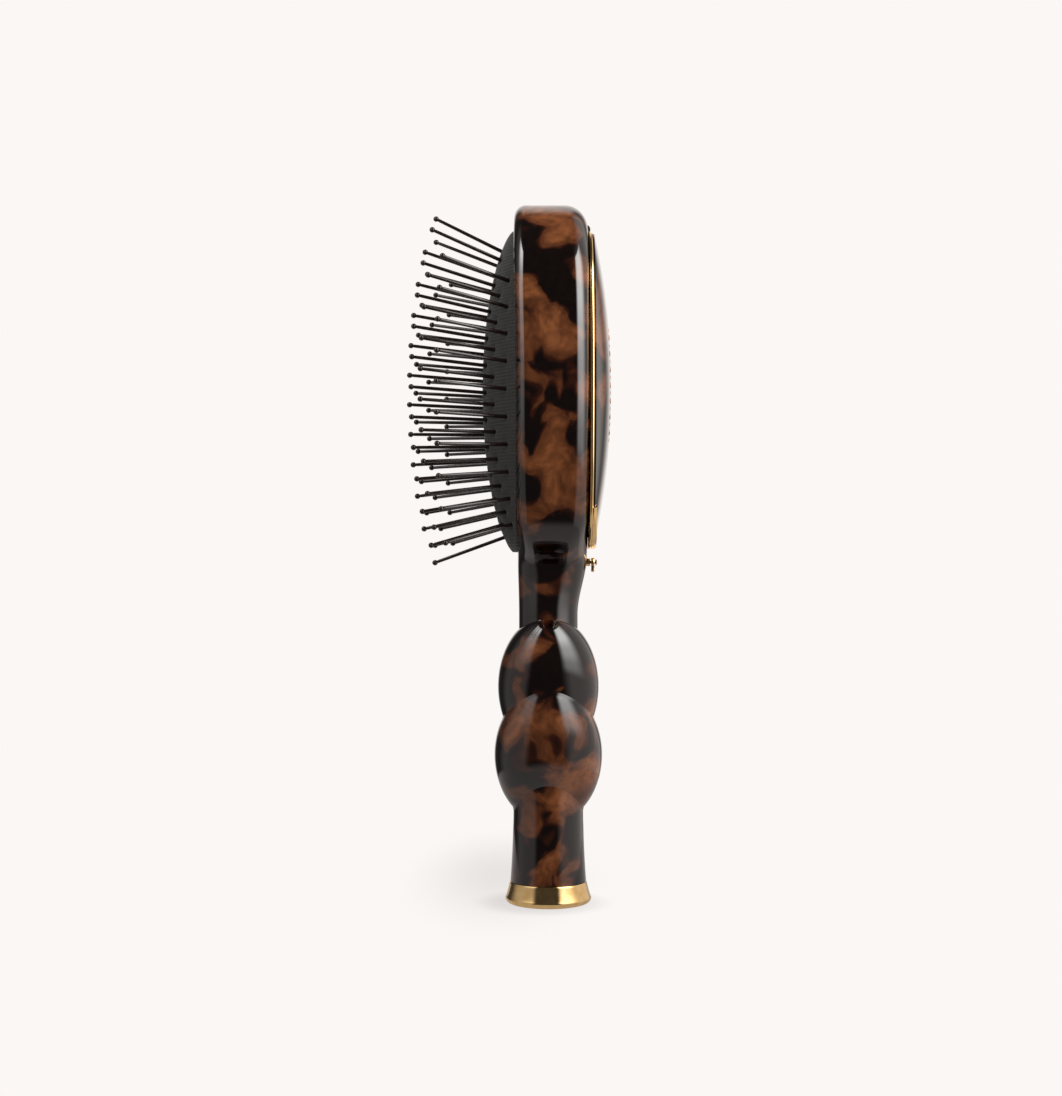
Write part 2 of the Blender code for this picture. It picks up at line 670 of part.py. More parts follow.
def lip_rings(outside, inside):
    """A crescent round the lid's lower end, in slices from one tip to the other."""
    tip = math.acos((LIP_TOP - LID_CENTRE) / LID_HALF_LENGTH)
    start = tip + LIP_SHORTENING
    rings = []
    for i in range(LIP_SLICES + 1):
        angle = mix(start, 2 * math.pi - start, i / LIP_SLICES)
        swell = math.sin(math.pi * i / LIP_SLICES)
        across = power_of(math.sin(angle), 2 / LID_POWER)
        along = power_of(math.cos(angle), 2 / LID_POWER)
        face = mix(SHELL_BACK + 0.5 * MM, LIP_FACE, min(1.0, 0.35 + swell)) + inside
        thin = LIP_DEPTH + inside
        ring = []
        for x, out in ((SHELL_BACK, outside), (face, outside), (face, -thin), (SHELL_BACK, -thin)):
            if inside and x == SHELL_BACK:
                x -= 1 * MM
            if inside and out == outside:
                out = 3 * MM
            y = (LID_HALF_WIDTH + out) * across
            ring.append(Vector((x, y, LID_CENTRE + (LID_HALF_LENGTH + out) * along)))
        rings.append(ring)
    return rings


# ---- hinge

def knuckle(name, low, high, brass, holder=None):
    bore = HINGE_PIN_RADIUS + GAP
    profile = ((KNUCKLE_RADIUS, low), (KNUCKLE_RADIUS, high), (bore, high), (bore, low))
    return turned(name, "Y", (HINGE_X, 0, HINGE_Z), profile, brass, 16, True, holder)


def leaf(name, low_x, high_x, brass, holder, barrels):
    """A leaf with its knuckles. Each knuckle is joined on by a short arm."""
    plate_low = (low_x, -LEAF_HALF_WIDTH, LEAF_BOTTOM)
    plate = box(name, plate_low, (high_x, LEAF_HALF_WIDTH, LEAF_TOP), brass, holder)
    for i, (low, high) in enumerate(barrels):
        arm_low = (low_x, low, LEAF_TOP - 0.5 * MM)
        arm = box(f"{name}_arm_{i}", arm_low, (high_x, high, HINGE_Z - 0.75 * MM), None, holder)
        combine(plate, arm, "UNION")
        combine(plate, knuckle(f"{name}_knuckle_{i}", low, high, None, holder), "UNION")
    return plate


def hinge(brass, steel, holder):
    outer = CENTRE_KNUCKLE + GAP
    outer_barrels = ((-LEAF_HALF_WIDTH, -outer), (outer, LEAF_HALF_WIDTH))
    body_leaf = leaf("hinge_leaf_body", *BODY_LEAF, brass, None, outer_barrels)
    centre_barrel = ((-CENTRE_KNUCKLE, CENTRE_KNUCKLE),)
    lid_leaf = leaf("hinge_leaf_lid", FRAME_BACK, FRAME_FACE, brass, holder, centre_barrel)
    bridge_low = (HINGE_X + HINGE_PIN_RADIUS + GAP, -CENTRE_KNUCKLE, LEAF_TOP - 0.4 * MM)
    bridge_high = (FRAME_FACE, CENTRE_KNUCKLE, HINGE_Z - 0.3 * MM)
    combine(lid_leaf, box("lid_leaf_bridge", bridge_low, bridge_high, None, holder), "UNION")
    pin = ((HINGE_PIN_RADIUS, -LEAF_HALF_WIDTH), (HINGE_PIN_RADIUS, LEAF_HALF_WIDTH))
    turned("hinge_pin", "Y", (HINGE_X, 0, HINGE_Z), pin, steel, 12)
    seam = FRAME_BACK - 0.5 * MM
    for side, word in ((-1, "left"), (1, "right")):
        place = (0, side * SCREW_Y, SCREW_Z)
        hole = ((SCREW_SHANK + GAP, BODY_LEAF[0] - 0.7 * MM), (SCREW_SHANK + GAP, seam))
        combine(body_leaf, turned(f"body_leaf_hole_{word}", "X", place, hole, count=10))
        hole = ((SCREW_SHANK + GAP, seam), (SCREW_SHANK + GAP, FRAME_FACE + 0.7 * MM))
        combine(lid_leaf, turned(f"lid_leaf_hole_{word}", "X", place, hole, None, 10, False, holder))
        seat = BODY_LEAF[1] + GAP
        body_screw = ((SCREW_SHANK, BODY_SCREW_TIP), (SCREW_SHANK, seat))
        body_screw += ((SCREW_HEAD, seat), (0.6 * MM, seat + GAP))
        turned(f"body_leaf_screw_{word}", "X", place, body_screw, steel, 10)
        lid_screw = ((SCREW_SHANK, FRAME_BACK - 0.25 * MM), (SCREW_SHANK, LID_SCREW_TIP))
        turned(f"lid_leaf_screw_{word}", "X", place, lid_screw, steel, 10, False, holder)


# ---- latch

def latch(brass, holder):
    low, high, radius = COLLAR
    hole = RIVET_RADIUS + GAP
    collar = ((radius, low), (radius, high), (hole, high), (hole, low))
    turned("latch_collar", "X", (0, 0, LATCH_Z), collar, brass, 20, True)
    head_low, head_high, head_radius = RIVET_HEAD
    rivet = ((RIVET_RADIUS, RIVET_TIP), (RIVET_RADIUS, head_low), (head_radius, head_low))
    rivet += ((head_radius, head_high - 0.2 * MM), (0.5 * head_radius, head_high))
    turned("latch_rivet", "X", (0, 0, LATCH_Z), rivet, brass, 16)
    boss = ((HOOK_BOSS, HOOK[0]), (HOOK_BOSS, HOOK[1]), (hole, HOOK[1]), (hole, HOOK[0]))
    hook = turned("latch_hook", "X", (0, 0, LATCH_Z), boss, brass, 20, True, holder)
    tab_low = (HOOK[0], -TAB_HALF_WIDTH, LATCH_Z - HOOK_REACH)
    tab_high = (HOOK[1], TAB_HALF_WIDTH, LATCH_Z - hole - 0.2 * MM)
    combine(hook, box("latch_tab", tab_low, tab_high, None, holder), "UNION")


def main():
    clear_scene()
    acetate = make_material("tortoise_acetate", (0.05, 0.018, 0.009), 0.08, coat=1.0)
    brass = make_material("polished_brass", (0.83, 0.58, 0.24), 0.14, 1.0)
    steel = make_material("steel", (0.6, 0.6, 0.6), 0.3, 1.0)
    rubber = make_material("cushion_rubber", (0.03, 0.028, 0.025), 0.8)
    nylon = make_material("dark_nylon", (0.02, 0.012, 0.01), 0.25)
    glass = make_material("mirror_silver", (0.9, 0.9, 0.9), 0.02, 1.0)
    velvet = make_material("lid_velvet", (0.06, 0.02, 0.02), 0.95)
    felt = make_material("backing_card", (0.2, 0.18, 0.15), 0.95)
    lid_axis = joint_empty("lid_axis", (HINGE_X, 0, HINGE_Z))
    latch_axis = joint_empty("latch_axis", (0.5 * (HOOK[0] + HOOK[1]), 0, LATCH_Z))
    brush_body(acetate)
    foot(brass, steel)
    pad = cushion(rubber)
    for number, row in enumerate(ROWS, 1):
        pin_row(number, *row, nylon, pad)
    mirror(glass, felt, brass)
    lid(acetate, brass, velvet, lid_axis)
    hinge(brass, steel, lid_axis)
    latch(brass, latch_axis)


main()
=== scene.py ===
"""Looks of the vanity hairbrush: a fine skin over each packed sub-part, and a pale studio.

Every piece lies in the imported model's frame, in metres: +Z up the handle, -X towards the pins.
"""

import json
import math

import bmesh
import bpy
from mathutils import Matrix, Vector


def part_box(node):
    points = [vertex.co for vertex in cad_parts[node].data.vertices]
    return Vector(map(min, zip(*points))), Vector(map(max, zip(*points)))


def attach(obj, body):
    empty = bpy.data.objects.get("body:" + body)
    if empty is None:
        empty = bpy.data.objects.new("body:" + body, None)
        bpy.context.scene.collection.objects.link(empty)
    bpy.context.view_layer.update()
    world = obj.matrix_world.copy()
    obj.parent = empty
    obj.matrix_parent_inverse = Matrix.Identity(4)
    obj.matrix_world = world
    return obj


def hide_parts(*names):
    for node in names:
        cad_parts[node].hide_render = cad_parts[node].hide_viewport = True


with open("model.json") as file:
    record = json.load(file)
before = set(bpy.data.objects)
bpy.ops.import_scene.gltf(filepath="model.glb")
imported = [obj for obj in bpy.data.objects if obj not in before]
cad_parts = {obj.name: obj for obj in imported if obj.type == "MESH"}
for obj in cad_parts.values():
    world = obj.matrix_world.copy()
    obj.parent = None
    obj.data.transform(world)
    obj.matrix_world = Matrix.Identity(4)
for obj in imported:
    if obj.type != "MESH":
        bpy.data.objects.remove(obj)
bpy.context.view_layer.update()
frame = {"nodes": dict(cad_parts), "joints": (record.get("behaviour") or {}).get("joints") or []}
MM = 0.001

# ---- places read from the frame

_, BODY_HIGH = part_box("brush_body")
_, FOOT_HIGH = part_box("foot_cap")
SHELL_LOW, SHELL_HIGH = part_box("lid_shell")
FRAME_LOW, FRAME_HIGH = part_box("lid_frame")
_, LIP_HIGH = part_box("lid_finger_lip")
GLASS_LOW, GLASS_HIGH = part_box("mirror_glass")
BEZEL_LOW, BEZEL_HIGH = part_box("mirror_bezel")
LINING_LOW, LINING_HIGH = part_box("lid_lining")
HOOK_LOW, HOOK_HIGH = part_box("latch_hook")
JOINTS = {joint["name"]: joint for joint in frame["joints"]}
HINGE = Vector(JOINTS["lid_hinge"]["pos_m"])
LATCH = Vector(JOINTS["latch_turn"]["pos_m"])
GAP = 0.3 * MM

# Head and handle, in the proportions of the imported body
HEAD_TOP = BODY_HIGH.z
HEAD_HALF_WIDTH = 31 * MM
HEAD_HALF_LENGTH = 51 * MM
HEAD_POWER = 2.15
HEAD_CENTRE = HEAD_TOP - HEAD_HALF_LENGTH
FRONT = -9.2 * MM
FRONT_TOP = -9.8 * MM
FRONT_MIDDLE = -8.9 * MM
BACK = FRAME_LOW.x - GAP
FRONT_EDGE = 3.4 * MM
BACK_EDGE = 5.0 * MM
BACK_EDGE_TOP = 6.6 * MM
FACE_TILT = (150 * MM, 190 * MM)
ROUNDER_EDGE = (180 * MM, 196 * MM)
BACK_BLEND_TOP = 100 * MM
FRONT_BLEND_TOP = 104 * MM
SHOULDER_BLEND = (88 * MM, 99 * MM)
OUTLINE_STEPS = 150
NECK_HALF = 8.45 * MM
NECK_SQUASH = 0.9
NECK_HALF_WIDTH = NECK_HALF * NECK_SQUASH
NECK_BOTTOM = 82.5 * MM
ROUND_BELOW = 10 * MM
OVAL_ABOVE = 80 * MM
NECK_ROUND = 92 * MM
HEAD_BOTTOM = 108 * MM
SHOULDER_SOFTNESS = 4 * MM
# Each crease is (height at the front and back, height at the two sides).
CREASES = ((78.4 * MM, 81.5 * MM), (53.3 * MM, 61.4 * MM), (27.4 * MM, 34.5 * MM))
# Each lobe is (radius, height of its middle, half its height).
UPPER_LOBE = (14.5 * MM, 62.0 * MM, 20.4 * MM)
LOWER_LOBE = (15.5 * MM, 42.4 * MM, 20.0 * MM)
COLUMN_RADIUS = 10.05 * MM
COLUMN_FLARE = 0.85 * MM

# Cushion and pins
PAD_CENTRE = 146.4 * MM
PAD_HALF_WIDTH = 24.8 * MM
PAD_HALF_LENGTH = 46 * MM
PAD_POWER = 2.4
PAD_RISE = 9.7 * MM
PIN_RADIUS = 0.5 * MM
PIN_LENGTH = 21 * MM
BALL_RADIUS = 0.8 * MM
PIN_PITCH = 7.7 * MM
LATTICE = 145.6 * MM
OUTER_ROW = 20 * MM
PIN_CROWDING = 0.035
# A pin's tilt towards the head's top, in degrees: at the cushion's middle, per mm and per cubic mm.
PIN_LEAN = (4.0, 0.267, 0.000176)
# A pin's tilt sideways, in degrees per mm of its row's distance across.
PIN_SPREAD = 1.45
PIN_SIDES = 14
# Depth and width of the pucker in the cushion round each pin.
PUCKER = (0.55 * MM, 1.3 * MM)
# Distance across, first and last place along the lattice, shift along it in pitches.
ROWS = (
    (-20.0 * MM, -5, 4, 0.0),
    (-13.5 * MM, -5, 3, 0.5),
    (-7.0 * MM, -5, 5, 0.0),
    (0.0, -6, 5, 0.5),
    (7.0 * MM, -5, 5, 0.0),
    (13.5 * MM, -5, 3, 0.5),
    (20.0 * MM, -5, 4, 0.0),
)

# Lid
LID_POWER = 2.3
LID_CENTRE = 146.9 * MM
LID_HALF_WIDTH = FRAME_HIGH.y
LID_HALF_LENGTH = 45.4 * MM
RIM_EDGE = 12.8 * MM
CREST = SHELL_HIGH.x
LIP_TOP = 116 * MM
LIP_WIDTH = 0.3 * MM
LIP_DEPTH = 1.6 * MM
LIP_SHORTENING = 0.05
LIP_SLICES = 64
DOME_POWER = 0.95
TRIM_START = (FRAME_LOW.x, 190.6 * MM)
TRIM_END = (CREST + 2 * MM, 185.1 * MM)
LEAF_REACH = 6.3 * MM


# ---- small helpers

def smooth_step(low, high, value):
    share = min(1.0, max(0.0, (value - low) / (high - low)))
    return share * share * (3 - 2 * share)


def mix(a, b, share):
    return a + (b - a) * share


def power_of(value, power):
    return math.copysign(abs(value) ** power, value)


def oval(x, half_width, half_length, centre, power=LID_POWER, count=160):
    ring = []
    for i in range(count):
        angle = 2 * math.pi * i / count
        y = half_width * power_of(math.sin(angle), 2 / power)
        z = centre + half_length * power_of(math.cos(angle), 2 / power)
        ring.append(Vector((x, y, z)))
    return ring


def circle(centre, along, radius, count):
    ring = []
    for i in range(count):
        angle = 2 * math.pi * i / count
        first, second = radius * math.cos(angle), radius * math.sin(angle)
        offset = {"X": (0, first, second), "Y": (second, 0, first), "Z": (first, second, 0)}[along]
        ring.append(Vector(centre) + Vector(offset))
    return ring


def loft(mesh, rings, loop=False, cap=True):
    rows = [[mesh.verts.new(point) for point in ring] for ring in rings]
    pairs = list(zip(rows, rows[1:]))
    if loop:
        pairs.append((rows[-1], rows[0]))
    for low, high in pairs:
        for i in range(len(low)):
            j = (i + 1) % len(low)
            mesh.faces.new((low[i], low[j], high[j], high[i]))
    if cap and not loop:
        mesh.faces.new(rows[0])
        mesh.faces.new(rows[-1])


def finish(name, mesh, material=None, sharp=35):
    bmesh.ops.remove_doubles(mesh, verts=mesh.verts, dist=0.0005 * MM)
    bmesh.ops.dissolve_degenerate(mesh, dist=0.0005 * MM, edges=mesh.edges)
    bmesh.ops.recalc_face_normals(mesh, faces=mesh.faces)
    if mesh.calc_volume(signed=True) < 0:
        bmesh.ops.reverse_faces(mesh, faces=mesh.faces)
    data = bpy.data.meshes.new(name)
    mesh.to_mesh(data)
    mesh.free()
    piece = bpy.data.objects.new(name, data)
    bpy.context.scene.collection.objects.link(piece)
    data.shade_smooth()
    data.set_sharp_from_angle(angle=math.radians(sharp))
    if material is not None:
        data.materials.append(material)
    return piece


def lofted(name, rings, material=None, loop=False, sharp=35):
    mesh = bmesh.new()
    loft(mesh, rings, loop)
    return finish(name, mesh, material, sharp)


def turned(name, along, base, profile, material=None, count=96, loop=False, sharp=35):
    step = {"X": Vector((1, 0, 0)), "Y": Vector((0, 1, 0)), "Z": Vector((0, 0, 1))}[along]
    rings = [circle(Vector(base) + step * far, along, radius, count) for radius, far in profile]
    return lofted(name, rings, material, loop, sharp)


def box(name, low, high):
    corners = ((0, 0), (1, 0), (1, 1), (0, 1))
    rings = []
    for x in (low[0], high[0]):
        rings.append([Vector((x, mix(low[1], high[1], a), mix(low[2], high[2], b))) for a, b in corners])
    return lofted(name, rings)


def cut(target, *tools):
    """Takes each tool out of the target for good, then removes the tool."""
    for tool in tools:
        step = target.modifiers.new("cut", "BOOLEAN")
        step.operation = "DIFFERENCE"
        step.solver = "EXACT"
        step.object = tool
    bpy.context.view_layer.update()
    graph = bpy.context.evaluated_depsgraph_get()
    made = bpy.data.meshes.new_from_object(target.evaluated_get(graph))
    target.modifiers.clear()
    target.data = made
    for tool in tools:
        bpy.data.objects.remove(tool, do_unlink=True)
    made.shade_smooth()
    made.set_sharp_from_angle(angle=math.radians(30))
    return target


def place(piece, body, slot, *nodes):
    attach(piece, body)
    if nodes:
        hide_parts(*nodes)
    return piece


# ---- materials

class Nodes:
    """A short way to write a node tree."""

    def __init__(self, name):
        self.material = bpy.data.materials.new(name)
        self.material.use_nodes = True
        self.tree = self.material.node_tree
        self.shader = self.tree.nodes["Principled BSDF"]

    def new(self, kind, **values):
        node = self.tree.nodes.new(kind)
        for key, value in values.items():
            setattr(node, key, value)
        return node

    def put(self, node, socket, value):
        if isinstance(value, bpy.types.NodeSocket):
            self.tree.links.new(value, node.inputs[socket])
        else:
            node.inputs[socket].default_value = value

    def place_in_mm(self):
        """The point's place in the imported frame, in millimetres."""
        coords = self.new("ShaderNodeTexCoord")
        scaled = self.new("ShaderNodeVectorMath", operation="SCALE")
        self.put(scaled, 0, coords.outputs["Object"])
        scaled.inputs["Scale"].default_value = 1 / MM
        return scaled.outputs[0]

    def noise(self, where, size, detail=2.0, rough=0.5, distort=0.0, dims="3D"):
        node = self.new("ShaderNodeTexNoise", noise_dimensions=dims)
        self.put(node, "Vector", where)
        node.inputs["Scale"].default_value = 1 / size
        node.inputs["Detail"].default_value = detail
        node.inputs["Roughness"].default_value = rough
        node.inputs["Distortion"].default_value = distort
        return node

    def math(self, operation, a, b=0.0, clamp=False):
        node = self.new("ShaderNodeMath", operation=operation, use_clamp=clamp)
        self.put(node, 0, a)
        self.put(node, 1, b)
        return node.outputs[0]

    def ramp(self, factor, stops):
        node = self.new("ShaderNodeValToRGB")
        node.color_ramp.interpolation = "EASE"
        while len(node.color_ramp.elements) < len(stops):
            node.color_ramp.elements.new(0.5)
        for element, (at, colour) in zip(node.color_ramp.elements, stops):
            element.position = at
            element.color = (*colour, 1.0)
        self.put(node, 0, factor)
        return node.outputs["Color"]

    def blend(self, factor, a, b, kind="MIX"):
        node = self.new("ShaderNodeMix", data_type="RGBA", blend_type=kind)
        self.put(node, 0, factor)
        self.put(node, 6, a)
        self.put(node, 7, b)
        return node.outputs[2]

    def bump(self, height, depth, strength=1.0):
        node = self.new("ShaderNodeBump")
        node.inputs["Strength"].default_value = strength
        node.inputs["Distance"].default_value = depth
        self.put(node, "Height", height)
        self.put(self.shader, "Normal", node.outputs["Normal"])
        return node

    def set(self, **values):
        for key, value in values.items():
            self.put(self.shader, key.replace("_", " "), value)


def tortoise(name, sheet):
    """Polished acetate: near-black brown with soft amber clouds. Each sheet has its own clouds."""
    n = Nodes(name)
    moved = n.new("ShaderNodeVectorMath", operation="ADD")
    n.put(moved, 0, n.place_in_mm())
    n.put(moved, 1, sheet)
    where = moved.outputs[0]
    warp = n.noise(where, 17.0, 1.5)
    shift = n.new("ShaderNodeVectorMath", operation="MULTIPLY_ADD")
    n.put(shift, 0, warp.outputs["Color"])
    n.put(shift, 1, (15.0, 15.0, 15.0))
    n.put(shift, 2, where)
    bent = shift.outputs[0]
    clouds = n.noise(bent, 17.0, 1.4, 0.5, 0.4).outputs["Fac"]
    spots = n.noise(bent, 7.0, 1.4, 0.5, 0.6).outputs["Fac"]
    both = n.math("ADD", n.math("MULTIPLY", clouds, 0.74), n.math("MULTIPLY", spots, 0.26))
    dark, red = (0.0035, 0.0012, 0.0008), (0.022, 0.0045, 0.0018)
    amber, honey = (0.088, 0.026, 0.0085), (0.185, 0.060, 0.020)
    colour = n.ramp(both, ((0.470, dark), (0.494, red), (0.525, amber), (0.62, honey)))
    fine = n.noise(bent, 2.2, 3.0).outputs["Fac"]
    grain = n.ramp(fine, ((0.3, (0.72, 0.72, 0.72)), (0.7, (1.18, 1.18, 1.18))))
    n.set(Base_Color=n.blend(1.0, colour, grain, "MULTIPLY"))
    polish = n.noise(where, 3.0, 4.0).outputs["Fac"]
    rough = n.math("MULTIPLY_ADD", polish, 0.05)
    rough.node.inputs[2].default_value = 0.035
    n.set(Roughness=rough)
    n.shader.inputs["IOR"].default_value = 1.5
    n.shader.inputs["Coat Weight"].default_value = 0.35
    n.shader.inputs["Coat Roughness"].default_value = 0.02
    ripple = n.noise(where, 26.0, 1.0).outputs["Fac"]
    n.bump(ripple, 0.25 * MM, 0.35)
    return n.material


def polished_brass():
    n = Nodes("polished_brass")
    where = n.place_in_mm()
    haze = n.noise(where, 2.5, 4.0).outputs["Fac"]
    colour = n.ramp(haze, ((0.3, (0.78, 0.50, 0.20)), (0.7, (0.88, 0.62, 0.30))))
    rough = n.math("MULTIPLY_ADD", haze, 0.08)
    rough.node.inputs[2].default_value = 0.05
    n.set(Base_Color=colour, Roughness=rough, Metallic=1.0)
    fine = n.noise(where, 0.4, 2.0).outputs["Fac"]
    n.bump(fine, 0.004 * MM, 0.5)
    return n.material


def worn_copper():
    n = Nodes("worn_copper")
    where = n.place_in_mm()
    haze = n.noise(where, 0.9, 3.0).outputs["Fac"]
    colour = n.ramp(haze, ((0.35, (0.16, 0.06, 0.03)), (0.65, (0.52, 0.25, 0.14))))
    n.set(Base_Color=colour, Roughness=n.math("MULTIPLY_ADD", haze, 0.3), Metallic=1.0)
    return n.material


def steel():
    n = Nodes("plain_steel")
    where = n.place_in_mm()
    haze = n.noise(where, 1.5, 4.0).outputs["Fac"]
    n.set(Base_Color=n.ramp(haze, ((0.3, (0.45, 0.45, 0.46)), (0.7, (0.6, 0.6, 0.6)))), Metallic=1.0)
    n.set(Roughness=n.math("MULTIPLY_ADD", haze, 0.2))
    return n.material


def ribbed_rubber():
    """Charcoal cushion rubber with the print of a fine woven cloth, its ribs across the brush; its colour is
    painted darker in the troughs between the ribs, as shade.
    """
    n = Nodes("ribbed_rubber")
    where = n.place_in_mm()
    parts = n.new("ShaderNodeSeparateXYZ")
    n.put(parts, 0, where)
    rib = n.math("SINE", n.math("MULTIPLY", parts.outputs["Z"], 2 * math.pi / 0.95))
    thread = n.math("SINE", n.math("MULTIPLY", parts.outputs["Y"], 2 * math.pi / 0.6))
    weave = n.math("ADD", rib, n.math("MULTIPLY", thread, 0.35))
    dust = n.noise(where, 1.2, 5.0, 0.6).outputs["Fac"]
    # Painted shade: the rubber's colour follows the rib wave and is darker in the troughs between the ribs;
    # the dust noise mixed in below is random tone.
    tone = n.math("MULTIPLY_ADD", rib, 0.16)
    tone.node.inputs[2].default_value = 0.5
    groove_shade_and_dust = n.math("ADD", n.math("MULTIPLY", tone, 0.7), n.math("MULTIPLY", dust, 0.3))
    colour = n.ramp(groove_shade_and_dust, ((0.25, (0.010, 0.0095, 0.0085)), (0.75, (0.024, 0.023, 0.020))))
    n.set(Base_Color=colour, Roughness=0.72)
    n.shader.inputs["Sheen Weight"].default_value = 0.12
    n.shader.inputs["Sheen Roughness"].default_value = 0.45
    n.bump(weave, 0.05 * MM, 0.8)
    return n.material


def dark_nylon():
    n = Nodes("dark_nylon")
    where = n.place_in_mm()
    tone = n.noise(where, 3.0, 3.0).outputs["Fac"]
    n.set(Base_Color=n.ramp(tone, ((0.3, (0.006, 0.003, 0.0025)), (0.7, (0.016, 0.008, 0.006)))))
    rough = n.math("MULTIPLY_ADD", tone, 0.12)
    rough.node.inputs[2].default_value = 0.16
    n.set(Roughness=rough)
    return n.material


def silvered_glass():
    n = Nodes("silvered_glass")
    where = n.place_in_mm()
    haze = n.noise(where, 9.0, 3.0).outputs["Fac"]
    n.set(Base_Color=n.ramp(haze, ((0.3, (0.86, 0.88, 0.88)), (0.7, (0.92, 0.93, 0.93)))), Metallic=1.0)
    rough = n.math("MULTIPLY_ADD", haze, 0.012)
    rough.node.inputs[2].default_value = 0.006
    n.set(Roughness=rough)
    return n.material


def short_velvet():
    n = Nodes("short_velvet")
    where = n.place_in_mm()
    pile = n.noise(where, 0.35, 3.0, 0.7).outputs["Fac"]
    nap = n.noise(where, 12.0, 2.0).outputs["Fac"]
    both = n.math("ADD", n.math("MULTIPLY", pile, 0.6), n.math("MULTIPLY", nap, 0.4))
    n.set(Base_Color=n.ramp(both, ((0.35, (0.03, 0.008, 0.008)), (0.65, (0.09, 0.025, 0.022)))))
    n.set(Roughness=0.95)
    n.shader.inputs["Sheen Weight"].default_value = 0.6
    n.shader.inputs["Sheen Roughness"].default_value = 0.4
    n.bump(pile, 0.12 * MM, 0.7)
    return n.material


def grey_card():
    n = Nodes("grey_card")
    where = n.place_in_mm()
    fibre = n.noise(where, 0.8, 5.0, 0.7).outputs["Fac"]
    n.set(Base_Color=n.ramp(fibre, ((0.3, (0.15, 0.13, 0.11)), (0.7, (0.27, 0.24, 0.2)))), Roughness=0.95)
    return n.material


ACETATE = tortoise("tortoise_acetate", (0.0, 0.0, 0.0))
LID_ACETATE = tortoise("lid_acetate", (0.0, 40.0, 26.0))
COPPER = worn_copper()
BRASS = polished_brass()
STEEL = steel()
RUBBER = ribbed_rubber()
NYLON = dark_nylon()
MIRROR = silvered_glass()
VELVET = short_velvet()
CARD = grey_card()


# ---- brush body

def pad_oval(x, out, count=160):
    """The cushion's outline, grown by out."""
    return oval(x, PAD_HALF_WIDTH + out, PAD_HALF_LENGTH + out, PAD_CENTRE, PAD_POWER, count)


def head_half_width(z):
    across = abs(z - HEAD_CENTRE) / HEAD_HALF_LENGTH
    return 0.0 if across >= 1 else HEAD_HALF_WIDTH * (1 - across**HEAD_POWER) ** (1 / HEAD_POWER)


def half_width(z):
    blend = math.exp((head_half_width(z) - NECK_HALF_WIDTH) / SHOULDER_SOFTNESS)
    fade = smooth_step(*SHOULDER_BLEND, z)
    return NECK_HALF_WIDTH + SHOULDER_SOFTNESS * math.log(1 + blend) * fade


def outline_point(step):
    if step < 0.5:
        angle = step * math.pi
        y = HEAD_HALF_WIDTH * math.sin(angle) ** (2 / HEAD_POWER)
        z = HEAD_CENTRE + HEAD_HALF_LENGTH * math.cos(angle) ** (2 / HEAD_POWER)
        rise = max(0.0, (z - HEAD_CENTRE) / HEAD_HALF_LENGTH)
        normal = Vector(((y / HEAD_HALF_WIDTH) ** (HEAD_POWER - 1) / HEAD_HALF_WIDTH,
                         rise ** (HEAD_POWER - 1) / HEAD_HALF_LENGTH))
        return Vector((y, z)), normal.normalized()
    drop = math.sin((step - 0.5) * math.pi) ** 0.9
    z = mix(HEAD_CENTRE, NECK_BOTTOM, drop)
    small = 0.1 * MM
    slope = (half_width(z + small) - half_width(z - small)) / (2 * small)
    return Vector((half_width(z), z)), Vector((1, -slope)).normalized()


def half_profile():
    edge = [math.radians(90 * i / 12) for i in range(13)]
    back = [(1, share, 0.0) for share in (0.0, 0.3, 0.6, 0.85, 0.985)] + [(1, 1.0, a) for a in edge]
    return back + [(-side, share, angle) for side, share, angle in reversed(back)]


def head_ring(step):
    (y, z), normal = outline_point(step)
    soft = smooth_step(HEAD_BOTTOM, NECK_ROUND, z)
    back = mix(NECK_HALF, BACK, smooth_step(NECK_BOTTOM, BACK_BLEND_TOP, z))
    face = mix(FRONT_MIDDLE, FRONT_TOP, smooth_step(*FACE_TILT, z))
    front = mix(-NECK_HALF, face, smooth_step(NECK_BOTTOM, FRONT_BLEND_TOP, z))
    back_edge = mix(BACK_EDGE, BACK_EDGE_TOP, smooth_step(*ROUNDER_EDGE, z))
    profile = half_profile()
    half = []
    for i, (side, share, angle) in enumerate(profile):
        radius = back_edge if side > 0 else FRONT_EDGE
        inset, level = radius, 0.0
        if share == 1.0:
            inset = radius * (1 - math.sin(angle))
            level = radius * (1 - math.cos(angle))
        x = back - level if side > 0 else front + level
        across = max(0.0, y - normal[0] * inset) * share
        high = z - normal[1] * inset
        turn = math.pi * i / (len(profile) - 1)
        round_x = (back + front) / 2 + (back - front) / 2 * math.cos(turn)
        round_y = y * math.sin(turn)
        half.append(Vector((mix(x, round_x, soft), mix(across, round_y, soft), mix(high, z, soft))))
    return half + [Vector((p.x, -p.y, p.z)) for p in reversed(half[1:-1])]


def lobe_radius(lobe, z):
    radius, centre, half_height = lobe
    return radius * math.sqrt(max(0.0, 1 - ((z - centre) / half_height) ** 2))


def handle_ring(radius, z_face, z_side, count):
    share = (z_face - ROUND_BELOW) / (OVAL_ABOVE - ROUND_BELOW)
    squash = mix(1.0, NECK_SQUASH, min(1.0, max(0.0, share)))
    ring = []
    for i in range(count):
        turn = 2 * math.pi * i / count
        z = z_face * math.cos(turn) ** 2 + z_side * math.sin(turn) ** 2
        ring.append(Vector((radius * math.cos(turn), radius * squash * math.sin(turn), z)))
    return ring


